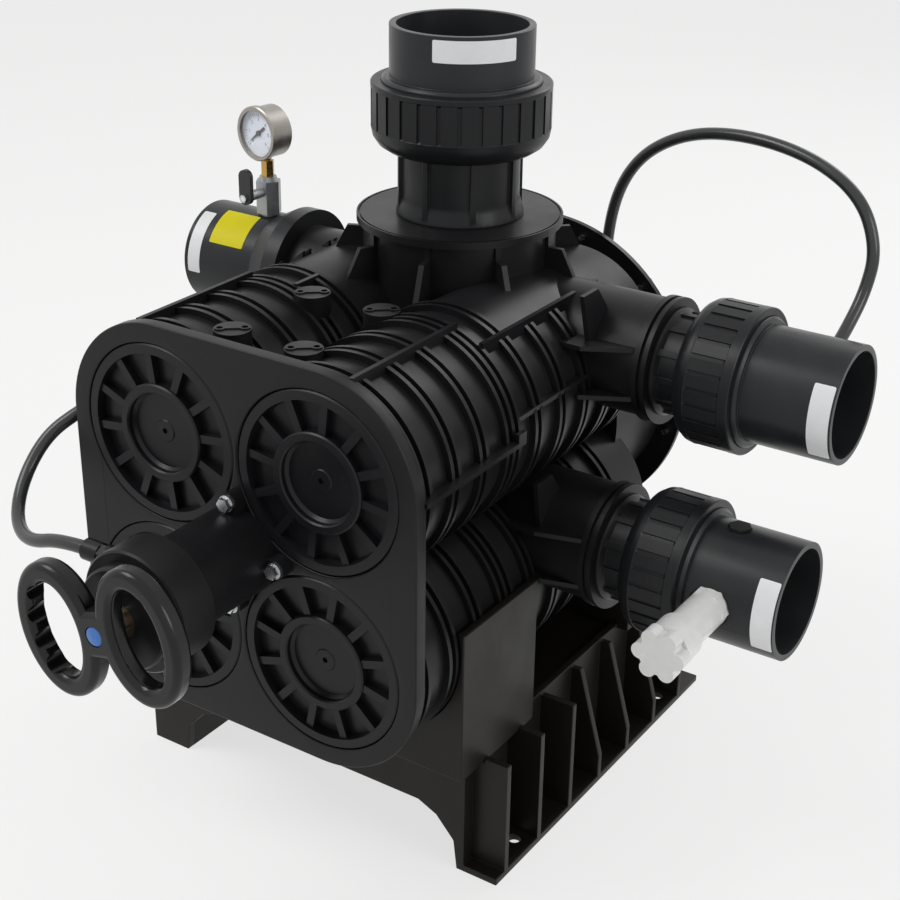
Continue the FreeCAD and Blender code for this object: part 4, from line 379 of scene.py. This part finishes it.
edges = {"front_plate": 1.5, "stand": 1.0, "front_saddle": 1.5, "rear_saddle": 1.5,
         "operator_cylinder": 0.8, "operator_collar": 0.8, "handle": 1.0, "handle_cap": 0.6}
edges.update({f"cover_{corner}": 0.8 for corner in corners})
edges.update({f"{port}_{part}": 0.8 for port in ports for part in ("end", "nut", "tail")})
for name, width in edges.items():
    soften(name, width)
print(len(edges), "nodes have soft edges")

# %% [markdown]
# ## Modelling helpers
#
# New pieces start from one of Blender's own primitives and are shaped in edit mode.  Nothing may stay
# selected from the step before, because the operators act on all that is.  A finished piece has its
# place in its mesh, so its origin stays at the world's.

# %% Modelling helpers


def begin():
    """Leave edit mode and select nothing."""
    if bpy.context.object and bpy.context.object.mode != "OBJECT":
        bpy.ops.object.mode_set(mode="OBJECT")
    bpy.ops.object.select_all(action="DESELECT")


def settle(piece, matrix, finish, body="valve"):
    """Put a piece in its place for good, give it a finish and let it ride on a body."""
    begin()
    piece.matrix_world = matrix
    bpy.context.view_layer.objects.active = piece
    piece.select_set(True)
    bpy.ops.object.transform_apply(location=True, rotation=True, scale=True)
    piece.data.materials.clear()
    piece.data.materials.append(finish)
    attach(piece, body)
    begin()


def facing(at, right, out):
    """The matrix that puts a local origin at a point, with local X to the right and local Z outwards."""
    right = Vector(right).normalized()
    out = Vector(out).normalized()
    up = out.cross(right)
    return Matrix((
        (right.x, up.x, out.x, at[0]),
        (right.y, up.y, out.y, at[1]),
        (right.z, up.z, out.z, at[2]),
        (0, 0, 0, 1)))


def select_faces(piece, wanted):
    """In edit mode, select the faces whose middle passes a test."""
    mesh = bmesh.from_edit_mesh(piece.data)
    for face in mesh.faces:
        face.select_set(wanted(face.calc_center_median()))
    mesh.select_flush_mode()
    bmesh.update_edit_mesh(piece.data)


# %% [markdown]
# ## Hoses
#
# Two black polyurethane hoses carry water to the operator cylinder and back to the drain.  A hose bends
# smoothly, so each is one NURBS curve with the route's points as its control points, round in section.

# %% Hoses
HOSE_DIAMETER = 14 * MM
LEFT_ROUTE = [
    (-79.5, -461, 402), (-126, -461, 402), (-183, -456, 379), (-228, -429, 380), (-253, -392, 404),
    (-251, -357, 440), (-231, -327, 462), (-222, -296.5, 470), (-222, -266.5, 470)]
RIGHT_ROUTE = [
    (48.98, 296, 508.26), (48.98, 296, 568.26), (80, 293, 642), (145, 283, 686), (228, 267, 702),
    (318, 251, 694), (381, 240, 663), (407, 232, 612), (404, 222, 566), (399, 189, 530),
    (398, 155, 514.4), (398, 119.1, 514.4)]


def hose(name, node, route):
    """One hose along a route in mm."""
    line = bpy.data.curves.new(name, "CURVE")
    line.dimensions = "3D"
    line.bevel_depth = HOSE_DIAMETER / 2
    line.bevel_resolution = 6
    line.resolution_u = 12
    line.use_fill_caps = True
    spline = line.splines.new("NURBS")
    spline.points.add(len(route) - 1)
    for point, place in zip(spline.points, route):
        point.co = (*(v * MM for v in place), 1.0)
    spline.order_u = 3
    spline.use_endpoint_u = True
    made = bpy.data.objects.new(name, line)
    bpy.context.scene.collection.objects.link(made)
    made.data.materials.append(hose_black)
    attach(made, "valve")
    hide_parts(node)
    return made


hose("left_hose_tube", "left_hose", LEFT_ROUTE)
hose("right_hose_tube", "right_hose", RIGHT_ROUTE)

# %% [markdown]
# ## Stickers
#
# The real pipes carry printed stickers.  Here they are blank: a strip of vinyl wrapped on the pipe, made
# from a cylinder of which only a window is kept, with rounded corners and a little thickness.

# %% Sticker materials
vinyl_white = simple("white_vinyl_sticker", "e9eaec", "f4f5f6", 0.38, 12)
vinyl_yellow = simple("yellow_vinyl_sticker", "ddd010", "e6da1c", 0.38, 12, Specular_IOR_Level=0.15)

# %% Stickers
SIDE_PIPE = 61.6
TOP_PIPE = 77.5
PIPE_CLEARANCE = 0.05
STICKER_THICK = 0.3
STICKER_CORNER = 1.8
PORT_Y = middle("drain_nut")[1] / MM
SIDE_Z = middle("drain_nut")[2] / MM
LOW_Y = middle("outlet_nut")[1] / MM
LOW_Z = middle("outlet_nut")[2] / MM
ALONG_X = Matrix(((0, 0, 1, 0), (1, 0, 0, 0), (0, 1, 0, 0), (0, 0, 0, 1)))
UPRIGHT = Matrix.Identity(4)


def sticker(name, turn, at, radius, length, start, end, finish):
    """A strip wrapped on a pipe, between two angles in degrees; lengths in mm."""
    begin()
    bpy.ops.mesh.primitive_cylinder_add(
        vertices=180, radius=(radius + PIPE_CLEARANCE) * MM, depth=length * MM, end_fill_type="NOTHING")
    piece = bpy.context.object
    piece.name = name
    bpy.ops.object.mode_set(mode="EDIT")
    select_faces(piece, lambda middle: not start < math.degrees(math.atan2(middle.y, middle.x)) % 360 < end)
    bpy.ops.mesh.delete(type="FACE")
    mesh = bmesh.from_edit_mesh(piece.data)
    for vertex in mesh.verts:
        vertex.select_set(len(vertex.link_edges) == 2)
    bmesh.update_edit_mesh(piece.data)
    bpy.ops.mesh.bevel(offset=STICKER_CORNER * MM, segments=4, affect="VERTICES")
    bpy.ops.object.mode_set(mode="OBJECT")
    skin = piece.modifiers.new("Skin", "SOLIDIFY")
    skin.thickness = STICKER_THICK * MM
    skin.offset = 1.0
    bpy.ops.object.modifier_apply(modifier="Skin")
    bpy.ops.object.shade_smooth_by_angle(angle=math.radians(30))
    settle(piece, Matrix.Translation([v * MM for v in at]) @ turn, finish)


sticker("inlet_sticker", ALONG_X, (-340, PORT_Y, SIDE_Z), SIDE_PIPE, 18, 115, 187, vinyl_white)
sticker("inlet_notice", ALONG_X, (-296, PORT_Y, SIDE_Z), SIDE_PIPE, 50, 104, 147, vinyl_yellow)
sticker("top_sticker", UPRIGHT, (0, PORT_Y, 817.5), TOP_PIPE, 23, 281, 346, vinyl_white)
sticker("drain_sticker", ALONG_X, (455.5, PORT_Y, SIDE_Z), SIDE_PIPE, 22, 144, 221, vinyl_white)
sticker("outlet_sticker", ALONG_X, (456, LOW_Y, LOW_Z), SIDE_PIPE, 22, 137, 211, vinyl_white)
print("stickers made")

# %% [markdown]
# ## Dial
#
# The gauge's face has a scale over three quarters of a turn: a long stroke at each number, short ones
# between, and plain numbers from 0 to 6.  All of it is printed, so it is a tenth of a millimetre thick.

# %% Dial scale
DIAL_TURN = math.radians(8)
DIAL_OUT = Vector((-math.sin(DIAL_TURN), -math.cos(DIAL_TURN), 0))
DIAL_RIGHT = Vector((math.cos(DIAL_TURN), -math.sin(DIAL_TURN), 0))
dial_low, dial_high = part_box("gauge_dial")
FACE_OUT = 0.55
DIAL_AT = Vector([(a + b) / 2 for a, b in zip(dial_low, dial_high)]) + DIAL_OUT * FACE_OUT * MM
ZERO, SPAN, NUMBERS, BETWEEN = 225, 270, 6, 5
LONG_STROKE, SHORT_STROKE = (4.0, 0.6), (2.4, 0.35)
LONG_REACH, SHORT_REACH = 21.4, 22.2
INK = 0.1
FIGURE_SIZE, FIGURE_REACH = 5.5, 15.6
dial_place = facing(DIAL_AT, DIAL_RIGHT, DIAL_OUT)

begin()
for stroke in range(NUMBERS * BETWEEN + 1):
    at_number = stroke % BETWEEN == 0
    angle = math.radians(ZERO - SPAN * stroke / (NUMBERS * BETWEEN))
    reach = (LONG_REACH if at_number else SHORT_REACH) * MM
    long, wide = LONG_STROKE if at_number else SHORT_STROKE
    if stroke == 1:
        bpy.ops.object.mode_set(mode="EDIT")
    bpy.ops.mesh.primitive_cube_add(
        size=MM, location=(reach * math.cos(angle), reach * math.sin(angle), 0),
        rotation=(0, 0, angle), scale=(long, wide, INK))
scale = bpy.context.object
bpy.ops.object.mode_set(mode="OBJECT")
scale.name = "dial_scale"
settle(scale, dial_place @ scale.matrix_world, paint_black)

for number in range(NUMBERS + 1):
    angle = math.radians(ZERO - SPAN * number / NUMBERS)
    begin()
    bpy.ops.object.text_add(location=(0, 0, 0))
    figure = bpy.context.object
    figure.name = f"dial_figure_{number}"
    figure.data.body = str(number)
    figure.data.size = FIGURE_SIZE * MM
    figure.data.align_x = "CENTER"
    figure.data.align_y = "CENTER"
    figure.data.extrude = INK / 2 * MM
    bpy.ops.object.convert(target="MESH")
    reach = FIGURE_REACH * MM
    shift = Matrix.Translation((reach * math.cos(angle), reach * math.sin(angle), 0))
    settle(figure, dial_place @ shift, paint_black)
print("dial printed")

# %% [markdown]
# ## Floor and light
#
# The valve stands on a pale floor under soft lamps, in front of a white sky, as in a catalogue picture.
# The white comes from the floor and the sky as they are seen, directly, mirrored or through glass, and
# not from more light.  The floor is only partly shown as white, so that it keeps the valve's shadow.

# %% Rays that see the background


def seen(tree):
    """One for a ray that shows the background, directly, mirrored or through glass, and zero for the rest."""
    rays = add(tree, "ShaderNodeLightPath").outputs
    direct = add(tree, "ShaderNodeMath",
                 {0: rays["Is Camera Ray"], 1: rays["Is Glossy Ray"]}, operation="MAXIMUM")
    return add(tree, "ShaderNodeMath", {0: direct.outputs["Value"], 1: rays["Is Transmission Ray"]},
               operation="MAXIMUM").outputs["Value"]


# %% Floor
FLOOR_WHITE = 0.7
begin()
bpy.ops.mesh.primitive_circle_add(vertices=96, radius=6, fill_type="NGON", location=(0, 0, 0))
floor = bpy.context.object
floor.name = "floor"
floor_paint, floor_tree, floor_output = new_material("painted_floor")
floor_shader = add(floor_tree, "ShaderNodeBsdfPrincipled",
                   {"Base Color": linear("f2f2f0"), "Roughness": 0.75})
floor_glow = add(floor_tree, "ShaderNodeEmission", {"Color": (1.0, 1.0, 1.0, 1.0), "Strength": 1.0})
floor_share = add(floor_tree, "ShaderNodeMath", {0: seen(floor_tree), 1: FLOOR_WHITE}, operation="MULTIPLY")
floor_mix = add(floor_tree, "ShaderNodeMixShader", {"Fac": floor_share.outputs["Value"]})
floor_tree.links.new(floor_shader.outputs["BSDF"], floor_mix.inputs[1])
floor_tree.links.new(floor_glow.outputs["Emission"], floor_mix.inputs[2])
floor_tree.links.new(floor_mix.outputs["Shader"], floor_output.inputs["Surface"])
floor.data.materials.append(floor_paint)

# %% Lamps and sky


def lamp(name, place, aim, size, power):
    """A square soft lamp at a place, turned towards a point."""
    data = bpy.data.lights.new(name, "AREA")
    data.shape = "SQUARE"
    data.size = size
    data.energy = power
    made = bpy.data.objects.new(name, data)
    made.location = place
    made.rotation_euler = (Vector(aim) - Vector(place)).to_track_quat("-Z", "Y").to_euler()
    bpy.context.scene.collection.objects.link(made)


centre = [(a + b) / 2 for a, b in zip(*cad_box)]
lamp("key", (-1.6, -1.6, 3.0), centre, 1.6, 48)
lamp("side", (2.8, -0.2, 1.6), centre, 1.2, 22)
lamp("rear", (0.4, 2.8, 2.4), centre, 1.6, 26)

world = bpy.data.worlds.new("studio")
bpy.context.scene.world = world
world.use_nodes = True
sky = world.node_tree
sky.nodes.clear()
lit = add(sky, "ShaderNodeBackground", {"Color": (1.0, 1.0, 1.0, 1.0), "Strength": 0.4})
shown = add(sky, "ShaderNodeBackground", {"Color": (1.0, 1.0, 1.0, 1.0), "Strength": 1.0})
chosen = add(sky, "ShaderNodeMixShader", {"Fac": seen(sky)})
sky.links.new(lit.outputs["Background"], chosen.inputs[1])
sky.links.new(shown.outputs["Background"], chosen.inputs[2])
add(sky, "ShaderNodeOutputWorld", {"Surface": chosen.outputs["Shader"]})

# %% [markdown]
# ## View transform
#
# The view transform stays plain, so colours show as they are written.

# %% Finish
bpy.context.scene.view_settings.view_transform = "Standard"
